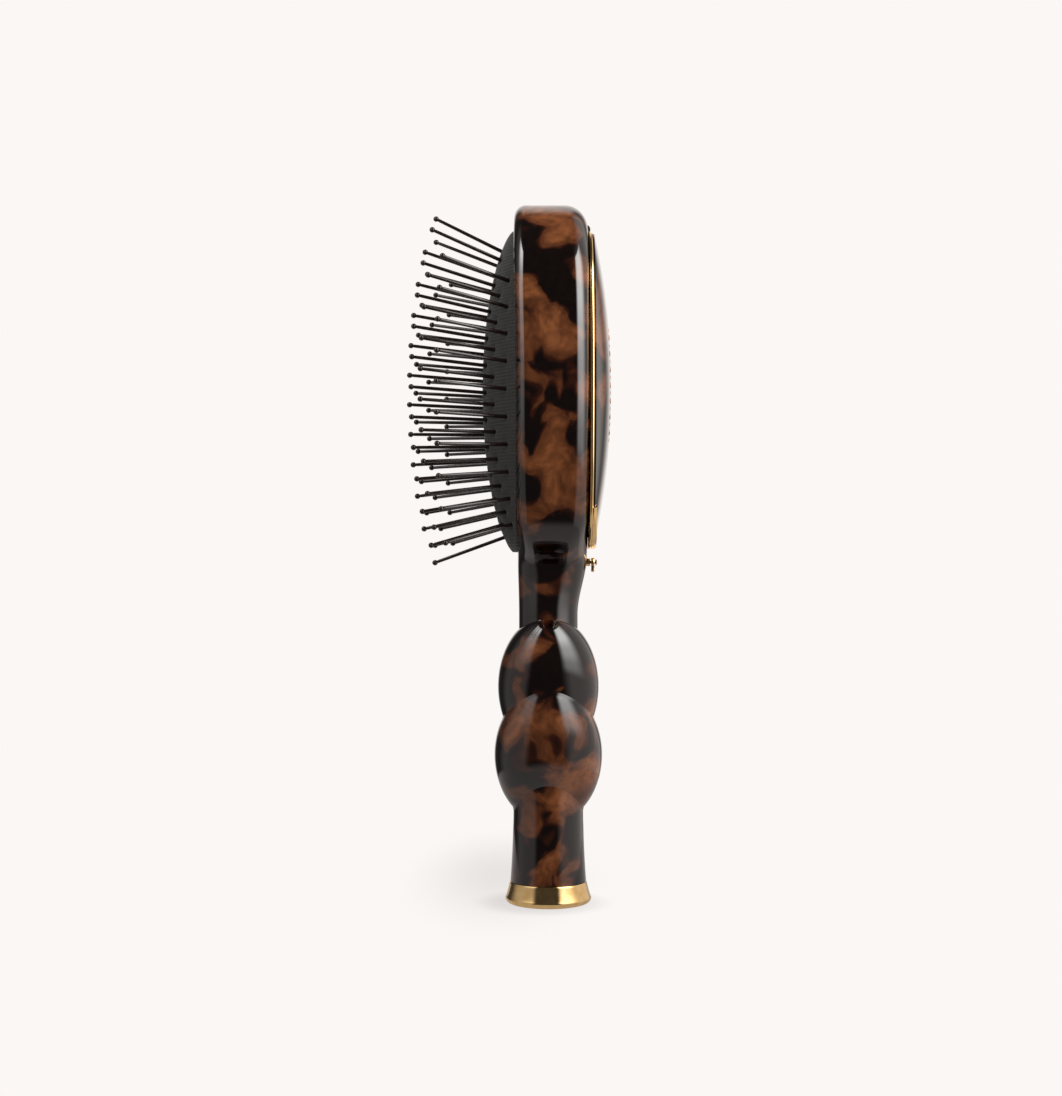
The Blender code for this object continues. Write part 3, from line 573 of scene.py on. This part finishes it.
def handle_rings(count):
    def between(top, bottom, steps, radius_at):
        for i in range(1, steps + 1):
            share = i / steps
            z_face = mix(top[0], bottom[0], share)
            yield handle_ring(radius_at(z_face), z_face, mix(top[1], bottom[1], share), count)

    def column(z):
        return COLUMN_RADIUS + COLUMN_FLARE * ((CREASES[2][0] - z) / CREASES[2][0]) ** 2 * 1.6

    end = FOOT_HIGH.z + 0.05 * MM
    yield from between((NECK_BOTTOM, NECK_BOTTOM), CREASES[0], 12, lambda z: NECK_HALF)
    yield from between(CREASES[0], CREASES[1], 44, lambda z: lobe_radius(UPPER_LOBE, z))
    yield from between(CREASES[1], CREASES[2], 44, lambda z: lobe_radius(LOWER_LOBE, z))
    yield from between(CREASES[2], (end, end), 20, column)
    for radius, z in ((9.0 * MM, end), (9.0 * MM, 3.3 * MM)):
        turns = [2 * math.pi * i / count for i in range(count)]
        yield [Vector((radius * math.cos(t), radius * math.sin(t), z)) for t in turns]


def body_skin():
    rings = [head_ring(i / OUTLINE_STEPS) for i in range(OUTLINE_STEPS + 1)]
    rings += list(handle_rings(len(rings[0])))
    mesh = bmesh.new()
    rows = [[mesh.verts.new(point) for point in ring] for ring in rings]
    for low, high in zip(rows, rows[1:]):
        for i in range(len(low)):
            j = (i + 1) % len(low)
            mesh.faces.new((low[i], low[j], high[j], high[i]))
    mesh.faces.new(rows[-1])
    skin = finish("body_skin", mesh, ACETATE)
    bead = 1.6 * MM
    pocket = ((FRONT - 5 * MM, GAP), (-6.6 * MM, GAP), (-6.6 * MM, bead), (-3.6 * MM, bead),
              (-3.6 * MM, -1.8 * MM), (0.0, -1.8 * MM))
    pad_rings = [pad_oval(x, out) for x, out in pocket]
    centre = (GLASS_LOW.z + GLASS_HIGH.z) / 2
    deep = (GLASS_HIGH.y + GAP, (GLASS_HIGH.z - GLASS_LOW.z) / 2 + GAP)
    wide = (BEZEL_HIGH.y + 0.1 * MM, (BEZEL_HIGH.z - BEZEL_LOW.z) / 2 + 0.1 * MM)
    levels = ((7.0 * MM, deep), (GLASS_HIGH.x, deep), (GLASS_HIGH.x, wide), (BACK + 5 * MM, wide))
    mirror_rings = [oval(x, *size, centre) for x, size in levels]
    groove = ((2.6 * MM, -LEAF_REACH), (2.6 * MM, LEAF_REACH))
    groove = turned("groove", "Y", (HINGE.x, 0, HINGE.z), groove)
    recess_low = (9.4 * MM, -LEAF_REACH, 184.3 * MM)
    recess = box("recess", recess_low, (BACK + 3 * MM, LEAF_REACH, HINGE.z))
    seat = turned("seat", "X", (0, 0, LATCH.z), ((1.35 * MM, 10.0 * MM), (1.35 * MM, 15 * MM)), count=48)
    cut(skin, lofted("pocket", pad_rings), lofted("mirror_pocket", mirror_rings), groove, recess, seat)
    return place(skin, "brush", "acetate", "brush_body")


# ---- foot

def foot_skin():
    radius, height, edge = FOOT_HIGH.x + 0.05 * MM, FOOT_HIGH.z, 1.5 * MM
    profile = [(0.5 * MM, 0.0), (radius - edge, 0.0)]
    for i in range(1, 10):
        turn = math.radians(10 * i)
        profile.append((radius - edge * (1 - math.sin(turn)), edge * (1 - math.cos(turn))))
    top = 11.0 * MM
    for i in range(1, 13):
        share = i / 12
        profile.append((mix(radius, top, share**0.8), mix(edge, height - 0.25 * MM, share)))
    profile += [(top - 0.1 * MM, height - 0.08 * MM), (top - 0.3 * MM, height)]
    profile += [(9.3 * MM, height), (9.3 * MM, 3.0 * MM), (0.5 * MM, 3.0 * MM)]
    foot = turned("foot_skin", "Z", (0, 0, 0), profile, BRASS, 160)
    return place(foot, "brush", "brass", "foot_cap")


# ---- cushion and pins

def pad_share(z):
    along = min(1.0, abs(z - PAD_CENTRE) / PAD_HALF_LENGTH)
    return (1 - along**PAD_POWER) ** (1 / PAD_POWER)


def pad_surface(y, z):
    along = min(1.0, abs(z - PAD_CENTRE) / (PAD_HALF_LENGTH + 0.5 * MM))
    width = max(PAD_HALF_WIDTH * pad_share(z), 0.1 * MM)
    across = min(1.0, abs(y) / width)
    return FRONT - PAD_RISE * (1 - along**2) ** 0.6 * (1 - across**2) ** 1.1


def row_y(row, z):
    return row * (1 - (row / OUTER_ROW) ** 2 * (1 - pad_share(z)))


def row_places(first, last, shift):
    places = []
    for i in range(first, last + 1):
        z = LATTICE + PIN_PITCH * (i + shift)
        along = (z - PAD_CENTRE) / PAD_HALF_LENGTH
        places.append(PAD_CENTRE + (z - PAD_CENTRE) * (1 - PIN_CROWDING * along**2))
    return places


def pin_direction(row, z):
    along = (z - PAD_CENTRE) / MM
    at_middle, slope, curl = PIN_LEAN
    lean = math.radians(at_middle + slope * along + curl * along**3)
    spread = math.radians(PIN_SPREAD * row / MM)
    return Vector((-math.cos(lean) * math.cos(spread), math.sin(spread), math.sin(lean) * math.cos(spread)))


def pins():
    """(row number, base on the cushion, direction) of every pin."""
    for number, (row, first, last, shift) in enumerate(ROWS, 1):
        for z in row_places(first, last, shift):
            y = row_y(row, z)
            yield number, Vector((pad_surface(y, z), y, z)), pin_direction(row, z)


def pin_profile():
    """(radius, distance from the cushion): a tapered shaft with a round ball end."""
    centre = PIN_LENGTH
    profile = [(PIN_RADIUS * 1.12, -1.2 * MM), (PIN_RADIUS * 1.05, 1.5 * MM)]
    profile.append((PIN_RADIUS * 0.98, 0.6 * centre))
    neck = math.asin(0.5)
    profile.append((PIN_RADIUS * 0.92, centre - BALL_RADIUS * 1.25))
    for i in range(9):
        turn = mix(neck, math.pi - 0.12, i / 8)
        profile.append((BALL_RADIUS * math.sin(turn), centre - BALL_RADIUS * math.cos(turn)))
    return profile


def pin_pieces():
    meshes = {}
    profile = pin_profile()
    for number, base, direction in pins():
        mesh = meshes.setdefault(number, bmesh.new())
        first = direction.cross(Vector((0, 1, 0))).normalized()
        second = direction.cross(first)
        turns = [2 * math.pi * i / PIN_SIDES for i in range(PIN_SIDES)]
        spokes = [first * math.cos(t) + second * math.sin(t) for t in turns]
        loft(mesh, [[base + direction * far + spoke * radius for spoke in spokes] for radius, far in profile])
    for number, mesh in meshes.items():
        row = finish(f"pins_{number}", mesh, NYLON, 60)
        place(row, "brush", "pins", f"pin_row_{number}")


def cushion_skin():
    """The domed cushion: a fine grid with a pucker round each pin and a rolled rim in the head's pocket."""
    rings_out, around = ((60, 220))
    bases = [base for _, base, _ in pins()]
    pucker_depth, pucker_width = PUCKER
    mesh = bmesh.new()
    rings = []
    for i in range(rings_out + 1):
        share = max(0.004, math.sin(0.5 * math.pi * i / rings_out))
        ring = []
        for point in oval(0, PAD_HALF_WIDTH, PAD_HALF_LENGTH, PAD_CENTRE, PAD_POWER, around):
            y, z = point.y * share, PAD_CENTRE + (point.z - PAD_CENTRE) * share
            x = pad_surface(y, z)
            for base in bases:
                far = ((y - base.y) ** 2 + (z - base.z) ** 2) / pucker_width**2
                if far < 9:
                    x += pucker_depth * math.exp(-far)
            ring.append(Vector((x, y, z)))
        rings.append(ring)
    skirt = ((FRONT + 0.4 * MM, 0.05), (FRONT + 1.2 * MM, 0.12), (-6.4 * MM, 0.12))
    bead = ((-6.2 * MM, 1.2), (-4.0 * MM, 1.2), (-4.0 * MM, -1.5))
    for x, out in skirt + bead:
        rings.append(pad_oval(x, out * MM, around))
    loft(mesh, rings)
    skin = finish("cushion_skin", mesh, RUBBER, 60)
    return place(skin, "brush", "cushion_rubber", "cushion_pad")


# ---- mirror

def mirror_pieces():
    centre = (GLASS_LOW.z + GLASS_HIGH.z) / 2
    half = (GLASS_HIGH.z - GLASS_LOW.z) / 2
    low, high, bevel = GLASS_LOW.x, GLASS_HIGH.x, 0.5 * MM
    sizes = ((low, 0.0), (high - 0.3 * MM, 0.0), (high, bevel * 4))
    rings = [oval(x, GLASS_HIGH.y - inset, half - inset, centre) for x, inset in sizes]
    place(lofted("mirror_skin", rings, MIRROR, sharp=8), "brush", "mirror", "mirror_glass")
    low, high = BEZEL_LOW.x - 0.25 * MM, BEZEL_HIGH.x
    width, length = BEZEL_HIGH.y, (BEZEL_HIGH.z - BEZEL_LOW.z) / 2
    section = [(low, 0.0), (high - 0.2 * MM, 0.0), (high, 0.25 * MM), (high, 1.3 * MM)]
    for i in range(1, 7):
        turn = math.pi / 2 * i / 6
        section.append((high - 0.8 * MM * (1 - math.cos(turn)), 1.3 * MM + 2.2 * MM * math.sin(turn)))
    section.append((low, 3.5 * MM))
    rings = [oval(x, width - inset, length - inset, centre) for x, inset in section]
    place(lofted("bezel_skin", rings, BRASS, loop=True), "brush", "brass", "mirror_bezel")


# ---- lid

def top_trim(name):
    """A slanted block that takes the lid's top end off, to leave room for the hinge."""
    before, top, far = FRAME_LOW.x - 2 * MM, 215 * MM, 40 * MM
    side = ((before, TRIM_START[1] + 1.7 * MM), TRIM_START, TRIM_END, (TRIM_END[0], top), (before, top))
    return lofted(name, [[Vector((x, y, z)) for x, z in side] for y in (-far, far)])


def dome_x(share):
    """X of the lid's dome, for share from 0 at its crest to 1 at its rim."""
    return mix(RIM_EDGE, CREST, (1 - share**2) ** DOME_POWER)


def lid_ring(x, inset, share=1.0):
    return oval(x, (LID_HALF_WIDTH - inset) * share, (LID_HALF_LENGTH - inset) * share, LID_CENTRE, count=200)


def lid_skin():
    base = FRAME_HIGH.x - 0.05 * MM
    rings = [lid_ring(base, 0.45 * MM), lid_ring(base, 0.12 * MM), lid_ring(base + 0.2 * MM, 0.0)]
    steps = 56
    for i in range(steps):
        share = math.cos(0.5 * math.pi * i / steps)
        rings.append(lid_ring(dome_x(share), 0.0, share))
    skin = lofted("lid_skin", rings, LID_ACETATE)
    centre = (LINING_LOW.z + LINING_HIGH.z) / 2
    grown = (LINING_HIGH.y + 0.15 * MM, (LINING_HIGH.z - LINING_LOW.z) / 2 + 0.15 * MM)
    recess = lofted("recess", [oval(x, *grown, centre) for x in (base - 2 * MM, SHELL_LOW.x + 1.2 * MM)])
    cut(skin, top_trim("trim"), recess, lofted("lip_bed", lip_rings(0.0, 0.05 * MM)))
    return place(skin, "lid", "acetate", "lid_shell")


def lip_rings(outside, inside):
    """A crescent round the lid's lower end, in slices from one tip to the other."""
    start = math.acos((LIP_TOP - LID_CENTRE) / LID_HALF_LENGTH) + LIP_SHORTENING
    rings = []
    for i in range(LIP_SLICES + 1):
        angle = mix(start, 2 * math.pi - start, i / LIP_SLICES)
        swell = math.sin(math.pi * i / LIP_SLICES)
        across = power_of(math.sin(angle), 2 / LID_POWER)
        along = power_of(math.cos(angle), 2 / LID_POWER)
        low = FRAME_HIGH.x - 0.1 * MM
        face = mix(SHELL_LOW.x + 0.5 * MM, LIP_HIGH.x, min(1.0, 0.35 + swell)) + inside
        thin = LIP_DEPTH + inside
        if inside:
            corners = ((low - MM, 3 * MM), (face, 3 * MM), (face, -thin), (low - MM, -thin))
        else:
            soft = 0.25 * MM
            corners = ((low, outside), (face - soft, outside), (face, outside - soft),
                       (face, soft - thin), (face - soft, -thin), (low, -thin))
        ring = []
        for x, out in corners:
            z = LID_CENTRE + (LID_HALF_LENGTH + out) * along
            ring.append(Vector((x, (LID_HALF_WIDTH + out) * across, z)))
        rings.append(ring)
    return rings


def lid_metal():
    low, high = FRAME_LOW.x - 0.22 * MM, FRAME_HIGH.x
    middle, half = (low + high) / 2, (high - low) / 2
    section = []
    for i in range(9):
        turn = math.pi * i / 8
        section.append((middle - half * math.cos(turn), -0.35 * MM * math.sin(turn)))
    section += [(high, 3.0 * MM), (low, 3.0 * MM)]
    rings = [lid_ring(x, inset) for x, inset in section]
    metal = lofted("frame_skin", rings, BRASS, loop=True)
    gap_low = (10 * MM, -LEAF_REACH, 182 * MM)
    cut(metal, top_trim("trim"), box("leaf_gap", gap_low, (14 * MM, LEAF_REACH, 196 * MM)))
    place(metal, "lid", "brass", "lid_frame")
    place(lofted("lip_skin", lip_rings(LIP_WIDTH, 0.0), BRASS, sharp=50), "lid", "brass", "lid_finger_lip")


def lining_skin():
    centre = (LINING_LOW.z + LINING_HIGH.z) / 2
    half = (LINING_HIGH.z - LINING_LOW.z) / 2
    rings = [oval(LINING_HIGH.x, LINING_HIGH.y, half, centre)]
    for i in range(7):
        turn = math.pi / 2 * i / 6
        inset = 0.9 * MM * (1 - math.cos(turn))
        rings.append(oval(mix(LINING_HIGH.x - 0.3 * MM, LINING_LOW.x, math.sin(turn)), LINING_HIGH.y - inset,
                          half - inset, centre))
    for share in (0.8, 0.5, 0.2):
        rings.append(oval(LINING_LOW.x, LINING_HIGH.y * share, half * share, centre))
    panel = lofted("lining_skin", rings, VELVET)
    place(panel, "lid", "velvet", "lid_lining")


def crest_beads():
    """Three plain rows of beads set into the lid's dome, in place of any lettering."""
    mesh = bmesh.new()
    first, last, count = 131 * MM, 164 * MM, 15
    for row, shift in ((-9 * MM, 0.5), (0.0, 0.0), (9 * MM, 0.5)):
        for i in range(count):
            z = mix(first, last, (i + shift) / count)
            bead(mesh, row, z, (0.95 if i % 2 else 0.6) * MM)
    beads = finish("crest_beads", mesh, COPPER, 50)
    place(beads, "lid", "brass")


def bead(mesh, y, z, radius):
    along = abs(z - LID_CENTRE) / LID_HALF_LENGTH
    across = abs(y) / LID_HALF_WIDTH
    share = (along**LID_POWER + across**LID_POWER) ** (1 / LID_POWER)
    x = dome_x(share)
    rings = []
    for k in range(1, 9):
        turn = math.pi / 2 * k / 8
        height = 0.16 * radius * math.cos(turn)
        rings.append(circle((x - 0.05 * MM + height, y, z), "X", radius * math.sin(turn), 20))
    rings.append(circle((x - 0.6 * MM, y, z), "X", radius, 20))
    loft(mesh, rings)


# ---- small metal

def small_metal():
    slots = {"hinge_leaf_body": BRASS, "hinge_leaf_lid": BRASS, "latch_collar": BRASS, "latch_hook": BRASS,
             "latch_rivet": BRASS, "hinge_pin": STEEL, "foot_stud": STEEL, "mirror_backing": CARD,
             "body_leaf_screw_left": STEEL, "body_leaf_screw_right": STEEL,
             "lid_leaf_screw_left": STEEL, "lid_leaf_screw_right": STEEL}
    for node, material in slots.items():
        piece = frame["nodes"][node]
        piece.data.materials.clear()
        piece.data.materials.append(material)


def latch_skin():
    """The turning hook: a round boss with a tab that hangs from it, edges softened."""
    low, high = HOOK_LOW.x, HOOK_HIGH.x
    boss = (HOOK_HIGH.y - HOOK_LOW.y) / 2
    reach = LATCH.z - HOOK_LOW.z
    outline = []
    for i in range(33):
        turn = math.radians(mix(-48, 228, i / 32))
        outline.append((boss * math.cos(turn), boss * math.sin(turn)))
    half = 0.95 * MM
    for i in range(13):
        turn = math.radians(mix(180, 360, i / 12))
        outline.append((half * math.cos(turn), -reach + half * 0.7 + half * 0.7 * math.sin(turn)))
    rings = []
    soft = 0.14 * MM
    for x, shrink in ((low, 0.93), (low + soft, 1.0), (high - soft, 1.0), (high, 0.93)):
        rings.append([Vector((x, y * shrink, LATCH.z + z * shrink)) for y, z in outline])
    place(lofted("hook_skin", rings, BRASS, sharp=50), "latch", "brass", "latch_hook")


# ---- studio

PALE = (0.965, 0.930, 0.913)


def studio_world():
    """Two tall soft boxes, a white backdrop behind, and a dark gap on the camera's side."""
    world = bpy.data.worlds.new("studio")
    bpy.context.scene.world = world
    world.use_nodes = True
    tree = world.node_tree
    tree.nodes.clear()

    def new(kind, **values):
        node = tree.nodes.new(kind)
        for key, value in values.items():
            setattr(node, key, value)
        return node

    def put(node, socket, value):
        if isinstance(value, bpy.types.NodeSocket):
            tree.links.new(value, node.inputs[socket])
        else:
            node.inputs[socket].default_value = value

    def maths(operation, a, b=0.0):
        node = new("ShaderNodeMath", operation=operation)
        put(node, 0, a)
        put(node, 1, b)
        return node.outputs[0]

    def rise(value, low, high):
        node = new("ShaderNodeMapRange", interpolation_type="SMOOTHSTEP")
        put(node, "Value", value)
        put(node, "From Min", low)
        put(node, "From Max", high)
        return node.outputs[0]

    coords = new("ShaderNodeTexCoord")
    parts = new("ShaderNodeSeparateXYZ")
    put(parts, 0, coords.outputs["Generated"])
    x, y, z = parts.outputs
    turn = maths("MULTIPLY", maths("ARCTAN2", x, maths("MULTIPLY", y, -1.0)), 180 / math.pi)
    left_turn = maths("MULTIPLY", turn, -1.0)
    height = maths("MULTIPLY", maths("ARCSINE", z), 180 / math.pi)
    under_top = maths("SUBTRACT", 1.0, rise(height, 50.0, 68.0))

    def band(value, start, full, fading, end):
        return maths("MULTIPLY", rise(value, start, full), maths("SUBTRACT", 1.0, rise(value, fading, end)))

    right_wall = maths("MULTIPLY", band(turn, 24.0, 50.0, 140.0, 156.0), 0.7)
    left_wall = maths("MULTIPLY", band(left_turn, 34.0, 50.0, 96.0, 130.0), 0.4)
    backdrop = rise(maths("ABSOLUTE", turn), 150.0, 168.0)
    glow = maths("ADD", maths("ADD", right_wall, left_wall), backdrop)
    glow = maths("ADD", maths("MULTIPLY", glow, under_top), 0.06)
    lit = new("ShaderNodeBackground")
    put(lit, "Color", (1.0, 0.94, 0.90, 1.0))
    put(lit, "Strength", glow)
    seen = new("ShaderNodeBackground")
    put(seen, "Color", (*PALE, 1.0))
    path = new("ShaderNodeLightPath")
    mixer = new("ShaderNodeMixShader")
    put(mixer, 0, path.outputs["Is Camera Ray"])
    tree.links.new(lit.outputs[0], mixer.inputs[1])
    tree.links.new(seen.outputs[0], mixer.inputs[2])
    out = new("ShaderNodeOutputWorld")
    tree.links.new(mixer.outputs[0], out.inputs[0])


def studio_floor():
    """Pale paper in the backdrop's own tone, with the foot's faint soft shadow falling to the left."""
    mesh = bmesh.new()
    bmesh.ops.create_circle(mesh, cap_ends=True, radius=0.35, segments=96)
    floor = finish("studio_floor", mesh)
    n = Nodes("studio_paper")
    coords = n.new("ShaderNodeTexCoord")

    def shade(centre, reach_x, reach_y, near, depth):
        offset = n.new("ShaderNodeVectorMath", operation="SUBTRACT")
        n.put(offset, 0, coords.outputs["Object"])
        n.put(offset, 1, centre)
        scaled = n.new("ShaderNodeVectorMath", operation="MULTIPLY")
        n.put(scaled, 0, offset.outputs[0])
        n.put(scaled, 1, (1 / reach_x, 1 / reach_y, 0.0))
        away = n.new("ShaderNodeVectorMath", operation="LENGTH")
        n.put(away, 0, scaled.outputs[0])
        fade = n.ramp(away.outputs["Value"], ((near, (1.0, 1.0, 1.0)), (1.0, (0.0, 0.0, 0.0))))
        return n.math("MULTIPLY", fade, depth)

    cast = shade((-14 * MM, 42 * MM, 0.0), 34 * MM, 100 * MM, 0.0, 0.17)
    contact = shade((-1.5 * MM, -1 * MM, 0.0), 22 * MM, 22 * MM, 0.5, 0.15)
    light = n.math("SUBTRACT", 1.0, n.math("ADD", cast, contact))
    paper = n.new("ShaderNodeEmission")
    n.put(paper, "Color", (*PALE, 1.0))
    n.put(paper, "Strength", light)
    n.tree.links.new(paper.outputs[0], n.tree.nodes["Material Output"].inputs["Surface"])
    floor.data.materials.append(n.material)
    floor.location.z = -0.02 * MM
    floor.visible_glossy = False
    floor.visible_diffuse = False
    floor.visible_shadow = False


def studio_table():
    """The small pale table top that the glossy pieces mirror from below."""
    mesh = bmesh.new()
    bmesh.ops.create_circle(mesh, cap_ends=True, radius=0.14, segments=96)
    table = finish("studio_table", mesh)
    n = Nodes("table_paper")
    coords = n.new("ShaderNodeTexCoord")
    away = n.new("ShaderNodeVectorMath", operation="LENGTH")
    n.put(away, 0, coords.outputs["Object"])
    share = n.math("DIVIDE", away.outputs["Value"], 0.14)
    cover = n.ramp(share, ((0.68, (1.0, 1.0, 1.0)), (0.84, (0.0, 0.0, 0.0))))
    paper = n.new("ShaderNodeEmission")
    clear = n.new("ShaderNodeBsdfTransparent")
    mixer = n.new("ShaderNodeMixShader")
    n.put(paper, "Color", (1.0, 0.94, 0.91, 1.0))
    n.put(paper, "Strength", 0.5)
    n.put(mixer, 0, cover)
    n.tree.links.new(clear.outputs[0], mixer.inputs[1])
    n.tree.links.new(paper.outputs[0], mixer.inputs[2])
    n.tree.links.new(mixer.outputs[0], n.tree.nodes["Material Output"].inputs["Surface"])
    table.data.materials.append(n.material)
    table.location = (0.0, 0.05, -0.03 * MM)
    table.visible_camera = False
    table.visible_diffuse = False
    table.visible_shadow = False


def studio_card(name, first, last, bottom, top, strength, stops):
    """A curved light card round the brush, its glow graded up its height and soft at its sides."""
    radius, steps = 0.22, 40
    rings = []
    mesh = bmesh.new()
    for z in (bottom, top):
        turns = [math.radians(mix(first, last, i / steps)) for i in range(steps + 1)]
        rings.append([mesh.verts.new((radius * math.sin(t), -radius * math.cos(t), z)) for t in turns])
    for i in range(steps):
        mesh.faces.new((rings[0][i], rings[0][i + 1], rings[1][i + 1], rings[1][i]))
    data = bpy.data.meshes.new(name)
    mesh.to_mesh(data)
    mesh.free()
    card = bpy.data.objects.new(name, data)
    bpy.context.scene.collection.objects.link(card)
    n = Nodes(name)
    coords = n.new("ShaderNodeTexCoord")
    parts = n.new("ShaderNodeSeparateXYZ")
    n.put(parts, 0, coords.outputs["Object"])
    x, y, z = parts.outputs
    turn = n.math("MULTIPLY", n.math("ARCTAN2", x, n.math("MULTIPLY", y, -1.0)), 180 / math.pi)
    share = n.math("DIVIDE", n.math("SUBTRACT", turn, first), last - first)
    side = n.ramp(share, ((0.0, (0, 0, 0)), (0.24, (1, 1, 1)), (0.5, (1, 1, 1)), (1.0, (0, 0, 0))))
    height = n.math("DIVIDE", n.math("SUBTRACT", z, bottom), top - bottom)
    rise = n.ramp(height, [(at, (value, value, value)) for at, value in stops])
    glow = n.math("MULTIPLY", n.math("MULTIPLY", side, rise), strength)
    light = n.new("ShaderNodeEmission")
    clear = n.new("ShaderNodeBsdfTransparent")
    both = n.new("ShaderNodeAddShader")
    n.put(light, "Color", (1.0, 0.985, 0.97, 1.0))
    n.put(light, "Strength", glow)
    n.tree.links.new(light.outputs[0], both.inputs[0])
    n.tree.links.new(clear.outputs[0], both.inputs[1])
    n.tree.links.new(both.outputs[0], n.tree.nodes["Material Output"].inputs["Surface"])
    data.materials.append(n.material)
    card.visible_camera = False
    card.visible_shadow = False
    card.visible_diffuse = False


def studio_cards():
    right = ((0.0, 0.0), (0.12, 0.22), (0.28, 0.5), (0.55, 1.0), (0.93, 1.0), (1.0, 0.0))
    left = ((0.0, 0.0), (0.22, 0.08), (0.5, 0.28), (0.85, 1.0), (0.94, 1.0), (1.0, 0.0))
    studio_card("right_card", 26, 92, 0.03, 0.50, 8.5, right)
    studio_card("left_card", -36, -92, 0.05, 0.52, 9.0, left)


def studio_fill():
    """Broad fills that light only matt surfaces."""
    for name, place, size, energy in (("fill_top", (0.8, 0.1, 1.5), 2.0, 26.0),
                                      ("fill_front", (0.25, -1.3, 0.7), 1.4, 17.0),
                                      ("fill_back", (0.3, 1.4, 0.9), 1.6, 12.0)):
        data = bpy.data.lights.new(name, "AREA")
        data.shape = "SQUARE"
        data.size = size
        data.energy = energy
        light = bpy.data.objects.new(name, data)
        light.location = place
        light.rotation_euler = (Vector((0, 0, 0.1)) - light.location).to_track_quat("-Z", "Y").to_euler()
        light.visible_glossy = False
        bpy.context.scene.collection.objects.link(light)


def studio_camera():
    data = bpy.data.cameras.new("camera")
    data.lens = 59.12
    data.sensor_width = 36
    data.clip_start = 0.01
    data.clip_end = 50
    camera = bpy.data.objects.new("camera", data)
    camera.location = (-4.97 * MM, -517 * MM, 101.6 * MM)
    camera.rotation_euler = (math.radians(90), 0, 0)
    bpy.context.scene.collection.objects.link(camera)
    bpy.context.scene.camera = camera
    bpy.context.scene.view_settings.view_transform = "Standard"


studio_camera()
studio_world()
studio_floor()
studio_table()
studio_cards()
studio_fill()
body_skin()
foot_skin()
pin_pieces()
cushion_skin()
mirror_pieces()
lid_skin()
lid_metal()
lining_skin()
crest_beads()
small_metal()
latch_skin()
